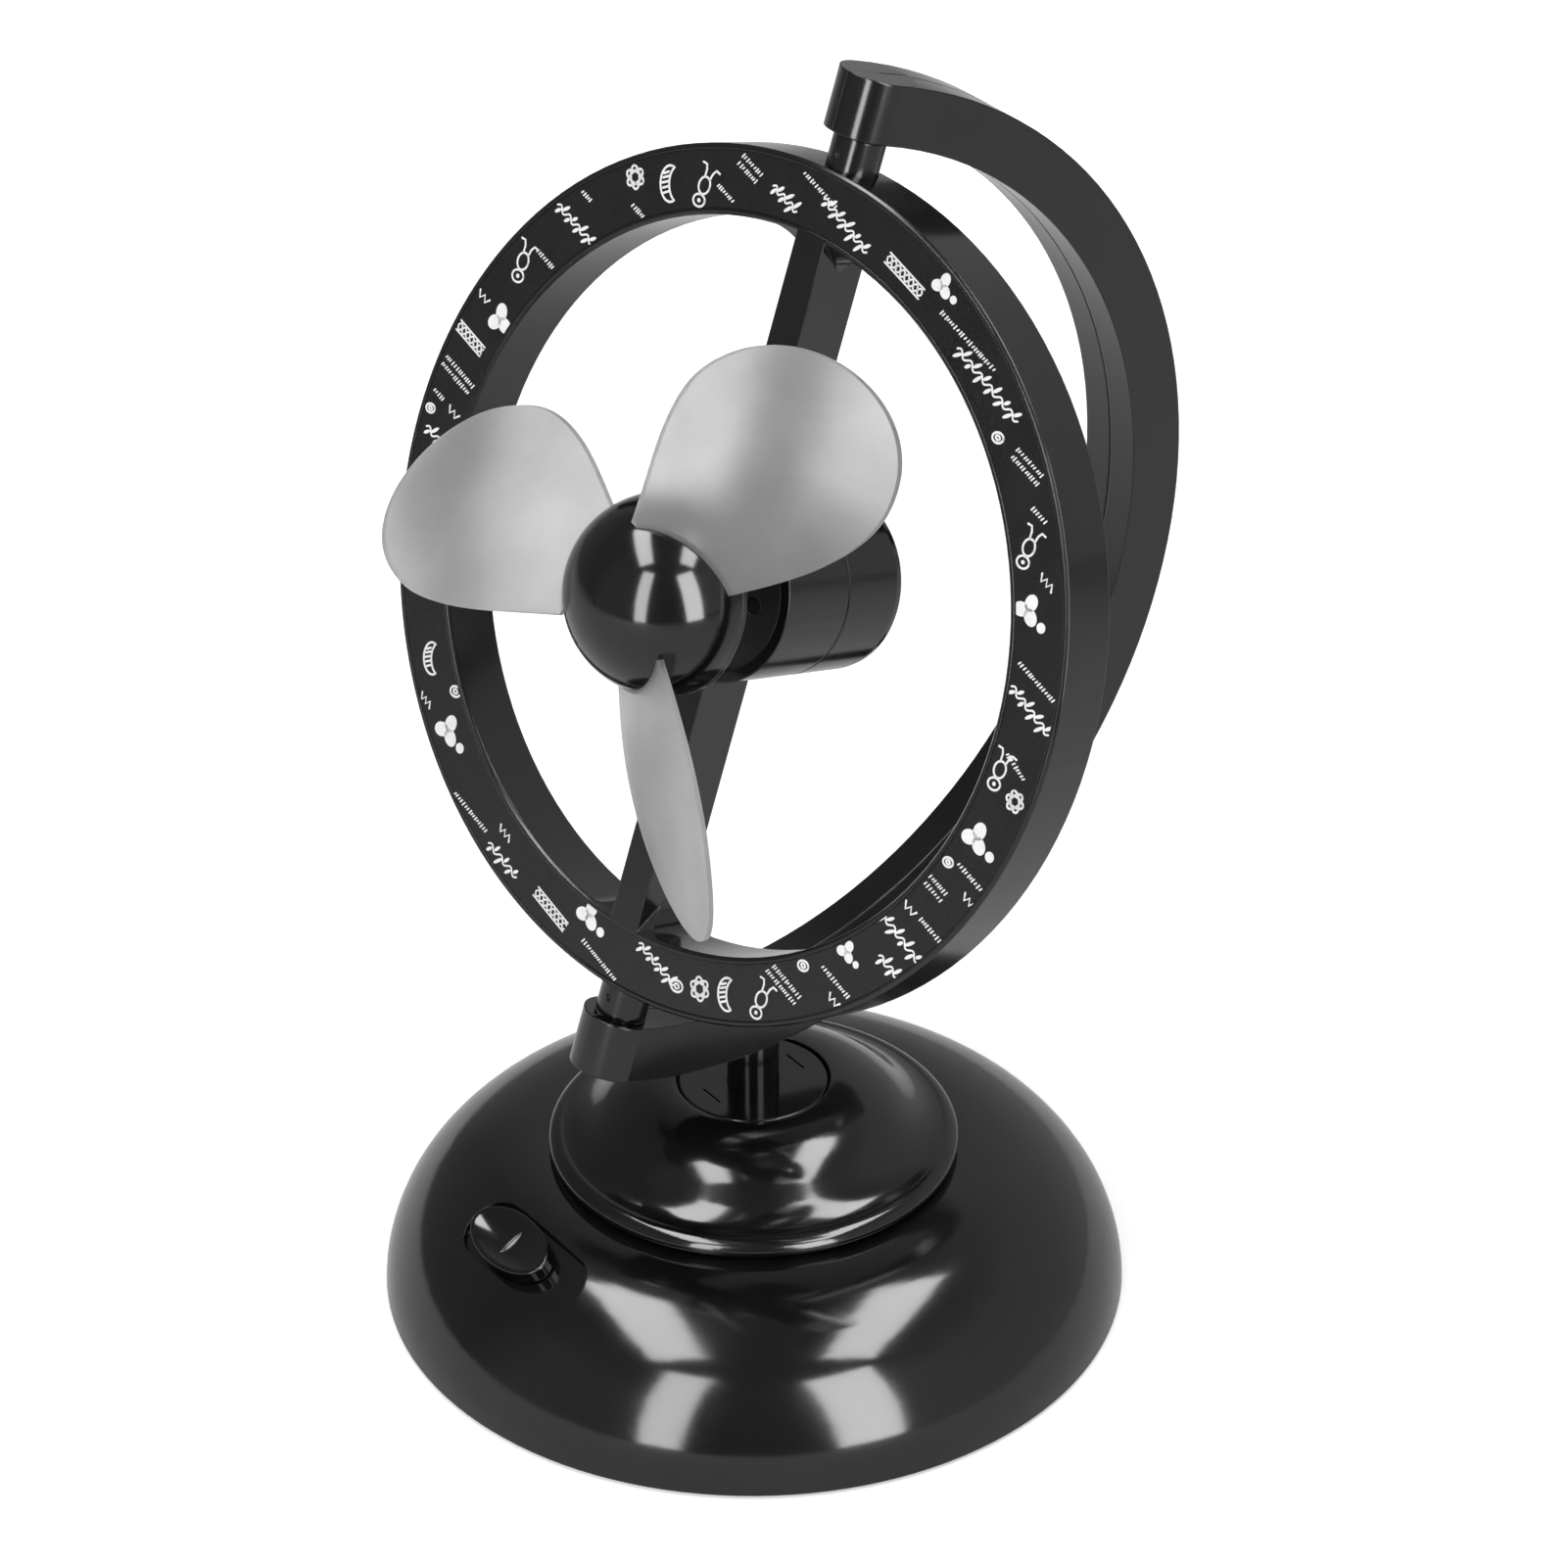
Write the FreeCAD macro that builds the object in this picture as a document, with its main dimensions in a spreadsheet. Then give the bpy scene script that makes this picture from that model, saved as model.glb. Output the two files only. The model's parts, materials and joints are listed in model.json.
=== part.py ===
import FreeCAD, Part
import math
import os

import Sketcher

# Desk fan in millimetres. +Z is up. The document's origin is the centre of the base on the table,
# and the files are written with the origin under the middle of the whole fan.
# The C-shaped arm lies in the XZ plane, with its closed side towards +X.
# The guard ring turns about a leaning axis between the two ends of the arm.

os.makedirs("parts", exist_ok=True)
doc = FreeCAD.newDocument("desk_fan")
sheet = doc.addObject("Spreadsheet::Sheet", "Sizes")

SIZES = {
    # base
    "foot_rise": 0.8,
    "base_radius": 70.5,
    "base_height": 29.5,
    "base_flat_radius": 37.0,
    "base_wall": 2.4,
    "base_opening_radius": 24.0,
    "plate_thickness": 3.0,
    "plate_radius": 67.6,
    "foot_radius": 5.0,
    "foot_height": 1.8,
    "foot_circle": 60.0,
    "post_radius": 3.5,
    "post_circle": 55.0,
    "post_top": 22.3,
    "base_screw_radius": 1.4,
    "base_screw_head": 2.7,
    "base_screw_head_height": 1.6,
    "base_screw_length": 8.0,
    # battery compartment
    "cell_radius": 7.1,
    "cell_length": 49.2,
    "cell_nub_radius": 2.7,
    "cell_nub_length": 1.0,
    "cell_pitch": 14.6,
    "contact_space": 3.3,
    "contact_sheet": 0.4,
    "box_wall": 1.6,
    "box_inner_height": 14.7,
    "door_gap": 0.4,
    "door_thickness": 2.8,
    "ballast_near": 34.0,
    "ballast_length": 16.0,
    "ballast_width": 44.0,
    "ballast_height": 11.2,
    # slide switch on the base
    "switch_radius": 52.6,
    "switch_level": 26.1,
    "switch_lean": 25.0,
    "slot_length": 32.6,
    "slot_width": 12.6,
    "slot_depth": 2.2,
    "tray_margin": 1.6,
    "tray_thickness": 6.8,
    "knob_length": 21.4,
    "knob_width": 11.2,
    "knob_rise": 1.0,
    "knob_rim": 0.9,
    "knob_dish": 1.1,
    "knob_offset": 3.9,
    "knob_mark_length": 6.6,
    "knob_mark_width": 1.3,
    "knob_mark_rise": 0.6,
    "tang_length": 3.6,
    "tang_width": 2.4,
    "tang_depth": 4.6,
    "switch_body_length": 20.0,
    "switch_body_width": 8.0,
    "switch_body_height": 5.0,
    # bell-shaped upper dome and swivel
    "lip_radius": 38.8,
    "lip_crease_radius": 35.9,
    "lip_crease_level": 33.5,
    "bell_top": 44.0,
    "bell_inner_level": 38.5,
    "well_floor": 41.0,
    "disc_radius": 14.2,
    "disc_gap": 0.4,
    "disc_bottom": 41.3,
    "disc_top": 43.8,
    "spigot_radius": 8.0,
    "spigot_bottom": 34.5,
    "retainer_radius": 11.0,
    "retainer_thickness": 2.0,
    "stem_radius": 4.9,
    "stem_bore": 3.0,
    "stem_top": 60.0,
    "dome_screw_circle": 33.2,
    "dome_screw_radius": 1.2,
    "dome_screw_head": 2.4,
    "dome_screw_head_height": 1.4,
    "dome_screw_reach": 3.0,
    # arm and ring pivots
    "pivot_height": 150.7,
    "pivot_shift": -2.8,
    "pivot_lean": 18.5,
    "ring_turn": 79.4,
    "arm_outer": 95.5,
    "arm_inner": 84.7,
    "arm_width": 13.7,
    "arm_wall": 2.0,
    "arm_groove": 0.35,
    "arm_channel_angle": 168.0,
    "socket_radius": 6.6,
    "arm_screw_radius": 1.0,
    "arm_screw_head": 2.0,
    "arm_screw_head_height": 1.2,
    "arm_screw_sink": 1.8,
    "arm_screw_length": 8.0,
    "arm_post_radius": 2.6,
    "pin_radius": 4.75,
    "pin_seat": 77.5,
    "pin_shoulder": 84.2,
    "journal_radius": 3.0,
    "journal_end": 91.6,
    "pin_spigot_radius": 2.5,
    "pin_spigot_end": 70.5,
    "pin_dimple_radius": 0.6,
    "bush_radius": 4.6,
    "bush_start": 84.8,
    "bush_end": 91.2,
    "bush_bore_end": 92.4,
    "running_fit": 0.05,
    # guard ring
    "ring_outer": 78.1,
    "ring_inner": 65.6,
    "ring_thickness": 12.1,
    "ring_edge": 0.5,
    "bar_width": 6.6,
    "bar_fillet": 5.0,
    "band_margin": 1.1,
    "band_recess": 0.6,
    "band_thickness": 0.45,
    "band_gap": 0.1,
    "channel_width": 2.2,
    "channel_depth": 3.6,
    "cover_width": 4.2,
    "cover_thickness": 1.2,
    "cover_gap": 0.1,
    "cover_start": 17.2,
    "cover_end": 69.0,
    # motor
    "housing_radius": 16.8,
    "housing_bore": 14.6,
    "housing_front": 5.5,
    "housing_seam": 10.7,
    "housing_back": 27.0,
    "shell_wall": 2.0,
    "shell_inner": 13.1,
    "shell_spigot": 2.5,
    "shell_edge": 0.4,
    "can_radius": 12.0,
    "can_wall": 0.8,
    "can_back": 21.0,
    "can_front": 2.5,
    "boss_radius": 3.2,
    "boss_length": 1.5,
    "endcap_thickness": 1.5,
    "endcap_plug": 2.5,
    "tab_reach": 6.5,
    "tab_width": 2.0,
    "tab_length": 2.0,
    "magnet_inner": 9.4,
    "magnet_length": 13.0,
    "magnet_back": 15.1,
    "armature_radius": 8.8,
    "armature_length": 11.0,
    "armature_back": 17.5,
    "commutator_length": 3.0,
    "commutator_radius": 3.0,
    "shaft_radius": 1.0,
    "shaft_back": 20.9,
    "shaft_front": 31.0,
    "sleeve_length": 4.5,
    "cover_disc_thickness": 2.0,
    "motor_screw_circle": 8.0,
    "motor_screw_radius": 0.8,
    "motor_screw_head": 1.6,
    "motor_screw_head_height": 0.8,
    "motor_screw_sink": 1.1,
    # rotor
    "hub_radius": 18.0,
    "hub_centre": 19.3,
    "hub_rim": 1.0,
    "hub_wall": 1.9,
    "hub_step": 2.0,
    "hub_neck_radius": 4.5,
    "hub_neck_start": 8.5,
    "hub_boss_radius": 5.0,
    "hub_boss_end": 29.0,
    "blade_root_radius": 16.4,
    "blade_thickness": 1.2,
    "blade_root_level": 27.4,
    "blade_tip_level": 23.4,
    "blade_root_pitch": 24.0,
    "blade_tip_pitch": 36.5,
    "blade_tip_radius": 60.8,
    "blade_turn": 57.0,
    "blade_sweep": 4.0,
    # wires
    "wire_radius": 0.6,
    "fine_wire_radius": 0.4,
}

# Half width of a blade, measured along the arc, at steps from hub to tip: (radius, half width).
BLADE_OUTLINE = [(14.0, 9.2), (17.7, 10.6), (24.0, 13.0), (31.0, 15.4), (38.5, 17.1),
                 (45.5, 17.3), (51.0, 15.6), (55.5, 12.6), (58.6, 8.6), (60.3, 4.2)]
BLADE_NAMES = ["blade_1", "blade_2", "blade_3"]

for row, (alias, value) in enumerate(SIZES.items(), start=1):
    sheet.set("A%d" % row, alias)
    sheet.set("B%d" % row, str(value))
    sheet.setAlias("B%d" % row, alias)
doc.recompute()

X_AXIS = FreeCAD.Vector(1, 0, 0)
Y_AXIS = FreeCAD.Vector(0, 1, 0)
Z_AXIS = FreeCAD.Vector(0, 0, 1)
nodes = []


def size(alias):
    """Value of one sheet cell."""
    return float(sheet.get(alias))


def ref(text):
    """Expression in which every word starting with $ is a sheet cell."""
    return text.replace("$", "Sizes.")


def turn(axis, angle):
    return FreeCAD.Rotation(axis, angle)


def at(x, y, z, rotation=None):
    return FreeCAD.Placement(FreeCAD.Vector(x, y, z), rotation or FreeCAD.Rotation())


# ---------------------------------------------------------------- frames

centre = FreeCAD.Vector(size("pivot_shift"), 0, size("pivot_height"))
# arm frame: Z along the leaning pivot axis, X towards the closed side of the C
ARM = FreeCAD.Placement(centre, turn(Y_AXIS, size("pivot_lean")))
# ring frame: Y along the pivot axis, Z along the motor shaft towards the hub nose
RING = FreeCAD.Placement(
    centre,
    turn(Y_AXIS, size("pivot_lean")) * turn(Z_AXIS, -size("ring_turn")) * turn(X_AXIS, 90))
# switch frame: X along the travel, Z square to the base surface
SWITCH = at(-size("switch_radius"), 0, size("switch_level"),
            turn(Y_AXIS, -size("switch_lean")) * turn(Z_AXIS, 90))
FLOOR_OF_PLATE = size("foot_rise")
TOP_OF_PLATE = size("foot_rise") + size("plate_thickness")


# ---------------------------------------------------------------- building helpers

def node(feature, label, placement=None):
    """Names a finished sub-part and puts it in its place."""
    feature.Label = label
    if placement is not None:
        feature.Placement = placement
    nodes.append(feature)
    return feature


def cylinder(name, radius, height, placement=None, angle=360):
    obj = doc.addObject("Part::Cylinder", name)
    obj.setExpression("Radius", ref(radius))
    obj.setExpression("Height", ref(height))
    obj.Angle = angle
    obj.Placement = placement or FreeCAD.Placement()
    return obj


def box(name, length, width, height, placement=None):
    """Box centred on X and Y, standing on its own base plane."""
    obj = doc.addObject("Part::Box", name)
    obj.setExpression("Length", ref(length))
    obj.setExpression("Width", ref(width))
    obj.setExpression("Height", ref(height))
    doc.recompute([obj])
    half = FreeCAD.Vector(-obj.Length.Value / 2, -obj.Width.Value / 2, 0)
    obj.Placement = (placement or FreeCAD.Placement()) * FreeCAD.Placement(half, FreeCAD.Rotation())
    return obj


def fuse(name, shapes):
    obj = doc.addObject("Part::MultiFuse", name)
    obj.Shapes = shapes
    return obj


def cut(name, base, tools):
    obj = doc.addObject("Part::Cut", name)
    obj.Base = base
    obj.Tool = tools[0] if len(tools) == 1 else fuse(name + "_tools", tools)
    return obj


def common(name, first, second):
    obj = doc.addObject("Part::MultiCommon", name)
    obj.Shapes = [first, second]
    return obj


def fixed_shape(name, shape):
    """Sub-part whose outline neither a sketch nor a primitive can hold."""
    obj = doc.addObject("Part::Feature", name)
    obj.Shape = shape
    return obj


def origin_plane(body, role):
    for feature in body.Origin.OriginFeatures:
        if feature.Role == role:
            return feature
    raise ValueError(role)


def turned(name, outline):
    """Body turned about Z. outline lists (radius, height) expressions, heights from 0 up."""
    body = doc.addObject("PartDesign::Body", name)
    sketch = body.newObject("Sketcher::SketchObject", name + "_profile")
    sketch.AttachmentSupport = [(origin_plane(body, "XZ_Plane"), "")]
    sketch.MapMode = "FlatFace"
    count = len(outline)
    start = []
    for index in range(count):
        angle = 2 * math.pi * index / count
        start.append(FreeCAD.Vector(20 + 10 * math.cos(angle), 20 + 10 * math.sin(angle), 0))
    for index in range(count):
        sketch.addGeometry(Part.LineSegment(start[index], start[(index + 1) % count]), False)
    for index in range(count):
        sketch.addConstraint(Sketcher.Constraint("Coincident", index, 2, (index + 1) % count, 1))
    for index, (radius, height) in enumerate(outline):
        if radius == "0":
            sketch.addConstraint(Sketcher.Constraint("PointOnObject", index, 1, -2))
        else:
            which = sketch.addConstraint(
                Sketcher.Constraint("DistanceX", -1, 1, index, 1, start[index].x))
            sketch.setExpression("Constraints[%d]" % which, ref(radius))
        if height == "0":
            sketch.addConstraint(Sketcher.Constraint("PointOnObject", index, 1, -1))
        else:
            which = sketch.addConstraint(
                Sketcher.Constraint("DistanceY", -1, 1, index, 1, start[index].y))
            sketch.setExpression("Constraints[%d]" % which, ref(height))
    doc.recompute()
    revolution = body.newObject("PartDesign::Revolution", name + "_turning")
    revolution.Profile = sketch
    revolution.ReferenceAxis = (sketch, ["V_Axis"])
    revolution.Angle = 360
    body.Tip = revolution
    doc.recompute()
    return body


def around(count, radius, level, first=0.0):
    """Placements evenly spaced on a circle about Z."""
    places = []
    for index in range(count):
        angle = math.radians(first + 360.0 * index / count)
        places.append(at(radius * math.cos(angle), radius * math.sin(angle), level))
    return places


def bent_wire(points, radius):
    """Insulated wire in straight runs with mitred bends."""
    corners = [FreeCAD.Vector(*point) for point in points]
    ring = Part.Wire([Part.makeCircle(radius, corners[0], corners[1] - corners[0])])
    mitred = 1
    return Part.makePolygon(corners).makePipeShell([ring], True, False, mitred)


def stretched_ball(radius, along, across, up, level):
    """Ellipsoid centred at a level on the Z axis."""
    stretch = FreeCAD.Matrix()
    stretch.scale(along, across, up)
    ball = Part.makeSphere(radius).transformGeometry(stretch)
    ball.translate(Z_AXIS * level)
    return ball


def turned_face(edges):
    """Solid turned about Z from edges that close one loop in the XZ plane."""
    face = Part.Face(Part.Wire(Part.__sortEdges__(edges)))
    return face.revolve(FreeCAD.Vector(), Z_AXIS, 360)


def segment(first, second):
    return Part.makeLine(FreeCAD.Vector(first[0], 0, first[1]), FreeCAD.Vector(second[0], 0, second[1]))


def curve_through(points):
    curve = Part.BSplineCurve()
    curve.interpolate([FreeCAD.Vector(radius, 0, height) for radius, height in points])
    return curve.toShape()


# ---------------------------------------------------------------- base

def dome_arc(radial, vertical, low):
    """Quarter ellipse from the flat top of the base down to the level low."""
    start = FreeCAD.Vector(size("base_flat_radius"), 0, 0)
    wide = FreeCAD.Vector(size("base_flat_radius") + radial, 0, 0)
    tall = FreeCAD.Vector(size("base_flat_radius"), 0, vertical)
    ellipse = Part.Ellipse(wide, tall, start)
    return Part.Arc(ellipse, math.asin(low / vertical), math.pi / 2)


def dome_solid(inset):
    """Solid dome of the base, smaller all round by the inset."""
    low = size("foot_rise")
    arc = dome_arc(size("base_radius") - size("base_flat_radius") - inset,
                   size("base_height") - inset, low)
    edges = [arc.toShape(),
             segment((arc.EndPoint.x, arc.EndPoint.z), (0, arc.EndPoint.z)),
             segment((0, arc.EndPoint.z), (0, low)),
             segment((0, low), (arc.StartPoint.x, arc.StartPoint.z))]
    return turned_face(edges)


def capsule(name, length, width, height, placement):
    """Slot-shaped block along X, standing on its base plane."""
    middle = box(name + "_middle", "%s - %s" % (length, width), width, height, placement)
    half = "(%s) / 2" % width
    doc.recompute([middle])
    reach = middle.Length.Value / 2
    left = cylinder(name + "_left", half, height, placement * at(-reach, 0, 0))
    right = cylinder(name + "_right", half, height, placement * at(reach, 0, 0))
    return fuse(name, [middle, left, right])


def build_base_shell(outer):
    hollow = fixed_shape("base_hollow", dome_solid(size("base_wall")))
    wall = cut("base_wall_solid", outer, [hollow])
    posts = []
    for index, place in enumerate(around(4, size("post_circle"), TOP_OF_PLATE, 45)):
        posts.append(cylinder("post_%d" % index, "$post_radius",
                              "$post_top - $foot_rise - $plate_thickness", place))
    body = fuse("base_with_posts", [wall] + posts)
    holes = [cylinder("base_opening", "$base_opening_radius", "$base_wall * 3",
                      at(0, 0, size("base_height") - 2 * size("base_wall")))]
    holes.append(capsule("switch_slot", "$slot_length", "$slot_width", "$tray_thickness * 2",
                         SWITCH * at(0, 0, -size("tray_thickness"))))
    for index, place in enumerate(around(4, size("post_circle"), TOP_OF_PLATE, 45)):
        holes.append(cylinder("post_hole_%d" % index, "$base_screw_radius", "$base_screw_length", place))
    for index, place in enumerate(around(3, size("dome_screw_circle"), size("base_height") - 5, 30)):
        holes.append(cylinder("dome_hole_%d" % index, "$dome_screw_radius", "$base_height", place))
    return node(cut("base_shell", body, holes), "base_shell")


def battery_opening(name, margin, height, level):
    """Box over the four cells and their contacts, grown by a margin."""
    return box(name, "$cell_pitch * 4 + %s" % margin,
               "$cell_length + $cell_nub_length + $contact_space * 2 + %s" % margin,
               height, at(0, 0, level))


def build_base_plate():
    disc = cylinder("plate_disc", "$plate_radius", "$plate_thickness", at(0, 0, FLOOR_OF_PLATE))
    cuts = [battery_opening("plate_opening", "0", "$plate_thickness * 2", FLOOR_OF_PLATE - 1)]
    for index, place in enumerate(around(4, size("post_circle"), FLOOR_OF_PLATE - 1, 45)):
        cuts.append(cylinder("plate_hole_%d" % index, "$base_screw_radius", "$plate_thickness * 2", place))
        cuts.append(cylinder("plate_sink_%d" % index, "$base_screw_head + $band_gap",
                             "$base_screw_head_height + 1", place))
    for index, place in enumerate(around(4, size("foot_circle"), 0)):
        cuts.append(cylinder("foot_seat_%d" % index, "$foot_radius", "$foot_height", place))
    return node(cut("base_plate", disc, cuts), "base_plate")


def build_feet():
    feet = []
    for index, place in enumerate(around(4, size("foot_circle"), 0)):
        feet.append(cylinder("foot_%d" % index, "$foot_radius", "$foot_height", place))
    return node(fuse("rubber_feet", feet), "rubber_feet")


def build_base_screws():
    screws = []
    sink = FLOOR_OF_PLATE + size("base_screw_head_height")
    for index, place in enumerate(around(4, size("post_circle"), 0, 45)):
        head = cylinder("base_screw_head_%d" % index, "$base_screw_head", "$base_screw_head_height - $band_gap",
                        place * at(0, 0, FLOOR_OF_PLATE + size("band_gap")))
        shank = cylinder("base_screw_shank_%d" % index, "$base_screw_radius", "$base_screw_length",
                         place * at(0, 0, sink))
        screws.append(fuse("base_screw_%d" % index, [head, shank]))
    return node(fuse("base_screws", screws), "base_screws")


def build_battery_box():
    outer = battery_opening("box_outer", "$box_wall * 2", "$box_inner_height + $box_wall", TOP_OF_PLATE)
    inner = battery_opening("box_inner", "0", "$box_inner_height", TOP_OF_PLATE)
    return node(cut("battery_box", outer, [inner]), "battery_box")


def build_cells():
    cells = []
    level = TOP_OF_PLATE + size("box_inner_height") - size("cell_radius")
    total = size("cell_length") + size("cell_nub_length")
    for index in range(4):
        flip = 180 * (index % 2)
        x = (index - 1.5) * size("cell_pitch")
        place = at(x, 0, level, turn(Z_AXIS, flip) * turn(X_AXIS, -90))
        case = cylinder("cell_case_%d" % index, "$cell_radius", "$cell_length", place * at(0, 0, -total / 2))
        nub = cylinder("cell_nub_%d" % index, "$cell_nub_radius", "$cell_nub_length",
                       place * at(0, 0, total / 2 - size("cell_nub_length")))
        cells.append(fuse("cell_%d" % index, [case, nub]))
    return node(fuse("battery_cells", cells), "battery_cells")


def build_contacts():
    """Spring cones at the flat ends of the cells, sheets with bumps at the nubs."""
    cones = []
    sheets = []
    level = TOP_OF_PLATE + size("box_inner_height") - size("cell_radius")
    reach = (size("cell_length") + size("cell_nub_length")) / 2
    for index in range(4):
        flip = 180 * (index % 2)
        x = (index - 1.5) * size("cell_pitch")
        place = at(x, 0, level, turn(Z_AXIS, flip) * turn(X_AXIS, -90))
        cone = doc.addObject("Part::Cone", "contact_cone_%d" % index)
        cone.setExpression("Radius1", ref("$cell_radius * 0.7"))
        cone.setExpression("Radius2", ref("$cell_radius * 0.35"))
        cone.setExpression("Height", ref("$contact_space"))
        cone.Placement = place * at(0, 0, -reach - size("contact_space"))
        cones.append(cone)
        sheet_part = box("contact_sheet_%d" % index, "$cell_radius * 1.6", "$cell_radius * 1.6",
                         "$contact_sheet", place * at(0, 0, reach + size("contact_space") - size("contact_sheet")))
        bump = cylinder("contact_bump_%d" % index, "$cell_nub_radius", "$contact_space - $contact_sheet",
                        place * at(0, 0, reach))
        sheets.append(fuse("contact_plate_%d" % index, [sheet_part, bump]))
    node(fuse("contact_springs", cones), "contact_springs")
    node(fuse("contact_plates", sheets), "contact_plates")


def build_battery_door():
    slab = battery_opening("door_slab", "0 - 2 * $door_gap", "$door_thickness", FLOOR_OF_PLATE)
    notch = cylinder("door_notch", "$foot_radius", "$door_thickness / 2",
                     at(0, size("cell_length") / 2 - size("foot_radius"), FLOOR_OF_PLATE - size("door_thickness") / 4))
    return node(cut("battery_door", slab, [notch]), "battery_door")


def build_ballast():
    x = size("ballast_near") + size("ballast_length") / 2
    block = box("ballast_block", "$ballast_length", "$ballast_width", "$ballast_height", at(x, 0, TOP_OF_PLATE))
    return node(block, "ballast_block")


# ---------------------------------------------------------------- slide switch

def build_switch(dome, shell):
    bottom = -size("slot_depth") - size("tray_thickness")
    block = capsule("tray_block", "$slot_length + 2 * $tray_margin", "$slot_width + 2 * $tray_margin",
                    "$tray_thickness", SWITCH * at(0, 0, bottom))
    tang_path = box("tang_path", "$knob_offset * 2 + $tang_length + 2 * $door_gap",
                    "$tang_width + 2 * $door_gap", "$tray_thickness * 2", SWITCH * at(0, 0, bottom - 1))
    node(cut("switch_tray", common("tray_in_dome", block, dome), [shell, tang_path]), "switch_tray")

    level = -size("slot_depth") + size("door_gap")
    knob_height = size("knob_rise") - level
    rim = Part.Ellipse(FreeCAD.Vector(), size("knob_length") / 2, size("knob_width") / 2)
    blank = Part.Face(Part.Wire([rim.toShape()])).extrude(Z_AXIS * knob_height)
    blank = blank.makeFillet(size("knob_rim") / 3, [edge for edge in blank.Edges
                                                    if edge.BoundBox.ZMin > knob_height - 0.01])
    long_half = size("knob_length") / 2 - size("knob_rim")
    short_half = size("knob_width") / 2 - size("knob_rim")
    deep = size("knob_dish")
    bowl = (short_half ** 2 + deep ** 2) / (2 * deep)
    dish = stretched_ball(bowl, long_half / short_half, 1, 1, knob_height + bowl - deep)
    mark = stretched_ball(1, size("knob_mark_width") / 2, size("knob_mark_length") / 2,
                          size("knob_mark_rise"), knob_height - deep)
    tang = Part.makeBox(size("tang_length"), size("tang_width"), size("tang_depth"),
                        FreeCAD.Vector(-size("tang_length") / 2, -size("tang_width") / 2,
                                       -size("tang_depth")))
    knob = blank.cut(dish).fuse([mark.common(blank), tang]).removeSplitter()
    node(fixed_shape("switch_knob", knob), "switch_knob", SWITCH * at(size("knob_offset"), 0, level))

    low = bottom - size("switch_body_height")
    body = box("switch_body", "$switch_body_length", "$switch_body_width", "$switch_body_height",
               SWITCH * at(0, 0, low))
    node(body, "switch_body")
    tabs = []
    for index in range(3):
        offset = (index - 1) * size("switch_body_length") / 3
        tabs.append(box("switch_tab_%d" % index, "$tang_width", "$contact_sheet", "$tang_width",
                        SWITCH * at(offset, 0, low - size("tang_width"))))
    node(fuse("switch_terminals", tabs), "switch_terminals")


# ---------------------------------------------------------------- bell dome and swivel

def build_upper_dome():
    well = size("disc_radius") + size("disc_gap")
    crease = (size("lip_crease_radius"), size("lip_crease_level"))
    lip = size("lip_radius")
    seat = size("base_height")
    flat = size("base_flat_radius")
    inner = size("bell_inner_level")
    hole = size("spigot_radius") + size("running_fit")
    rim = (well + 0.9, size("bell_top"))
    slope = curve_through([rim, (21.5, 42.6), (27.0, 39.4), (31.5, 35.5), crease])
    bead = curve_through([crease, (lip - 1.0, crease[1] - 0.5), (lip, crease[1] - 1.9),
                          (lip - 0.5, seat + 0.9), (flat, seat)])
    corners = [(flat, seat), (30.0, seat), (28.5, 34.0), (20.0, inner), (hole, inner),
               (hole, size("well_floor")), (well, size("well_floor")), (well, size("bell_top")), rim]
    edges = [slope, bead]
    for first, second in zip(corners, corners[1:]):
        edges.append(segment(first, second))
    blank = fixed_shape("bell", turned_face(edges))
    holes = []
    for index, place in enumerate(around(3, size("dome_screw_circle"), seat - 1, 30)):
        holes.append(cylinder("bell_hole_%d" % index, "$dome_screw_radius", "$dome_screw_reach + 1", place))
    return node(cut("upper_dome", blank, holes), "upper_dome")


def build_dome_screws():
    screws = []
    under = size("base_height") - size("base_wall")
    for index, place in enumerate(around(3, size("dome_screw_circle"), under, 30)):
        head = cylinder("dome_screw_head_%d" % index, "$dome_screw_head", "$dome_screw_head_height",
                        place * at(0, 0, -size("dome_screw_head_height")))
        shank = cylinder("dome_screw_shank_%d" % index, "$dome_screw_radius",
                         "$base_wall + $dome_screw_reach", place)
        screws.append(fuse("dome_screw_%d" % index, [head, shank]))
    return node(fuse("dome_screws", screws), "dome_screws")


def build_swivel():
    blank = turned("swivel_blank", [
        ("$stem_radius", "0"), ("$spigot_radius", "0"),
        ("$spigot_radius", "$disc_bottom - $spigot_bottom"),
        ("$disc_radius", "$disc_bottom - $spigot_bottom"),
        ("$disc_radius", "$disc_top - $spigot_bottom - 0.4"),
        ("$disc_radius - 0.4", "$disc_top - $spigot_bottom"),
        ("$stem_radius", "$disc_top - $spigot_bottom")])
    blank.Placement = at(0, 0, size("spigot_bottom"))
    marks = []
    for index, side in enumerate((-1, 1)):
        marks.append(box("disc_slit_%d" % index, "$disc_gap", "$disc_radius * 0.4", "$disc_gap * 2",
                         at(side * 0.68 * size("disc_radius"), 0, size("disc_top") - size("disc_gap"))))
    node(cut("swivel_disc", blank, marks), "swivel_disc")

    washer = turned("swivel_retainer", [
        ("$spigot_radius", "0"), ("$retainer_radius", "0"),
        ("$retainer_radius", "$retainer_thickness"), ("$spigot_radius", "$retainer_thickness")])
    gap = size("disc_bottom") - size("well_floor")
    node(washer, "swivel_retainer",
         at(0, 0, size("bell_inner_level") - gap - size("retainer_thickness")))

    stem = turned("stem", [
        ("$stem_bore", "0"), ("$stem_radius", "0"),
        ("$stem_radius", "$stem_top - $spigot_bottom"), ("$stem_bore", "$stem_top - $spigot_bottom")])
    node(stem, "stem", at(0, 0, size("spigot_bottom")))


# ---------------------------------------------------------------- arm

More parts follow.
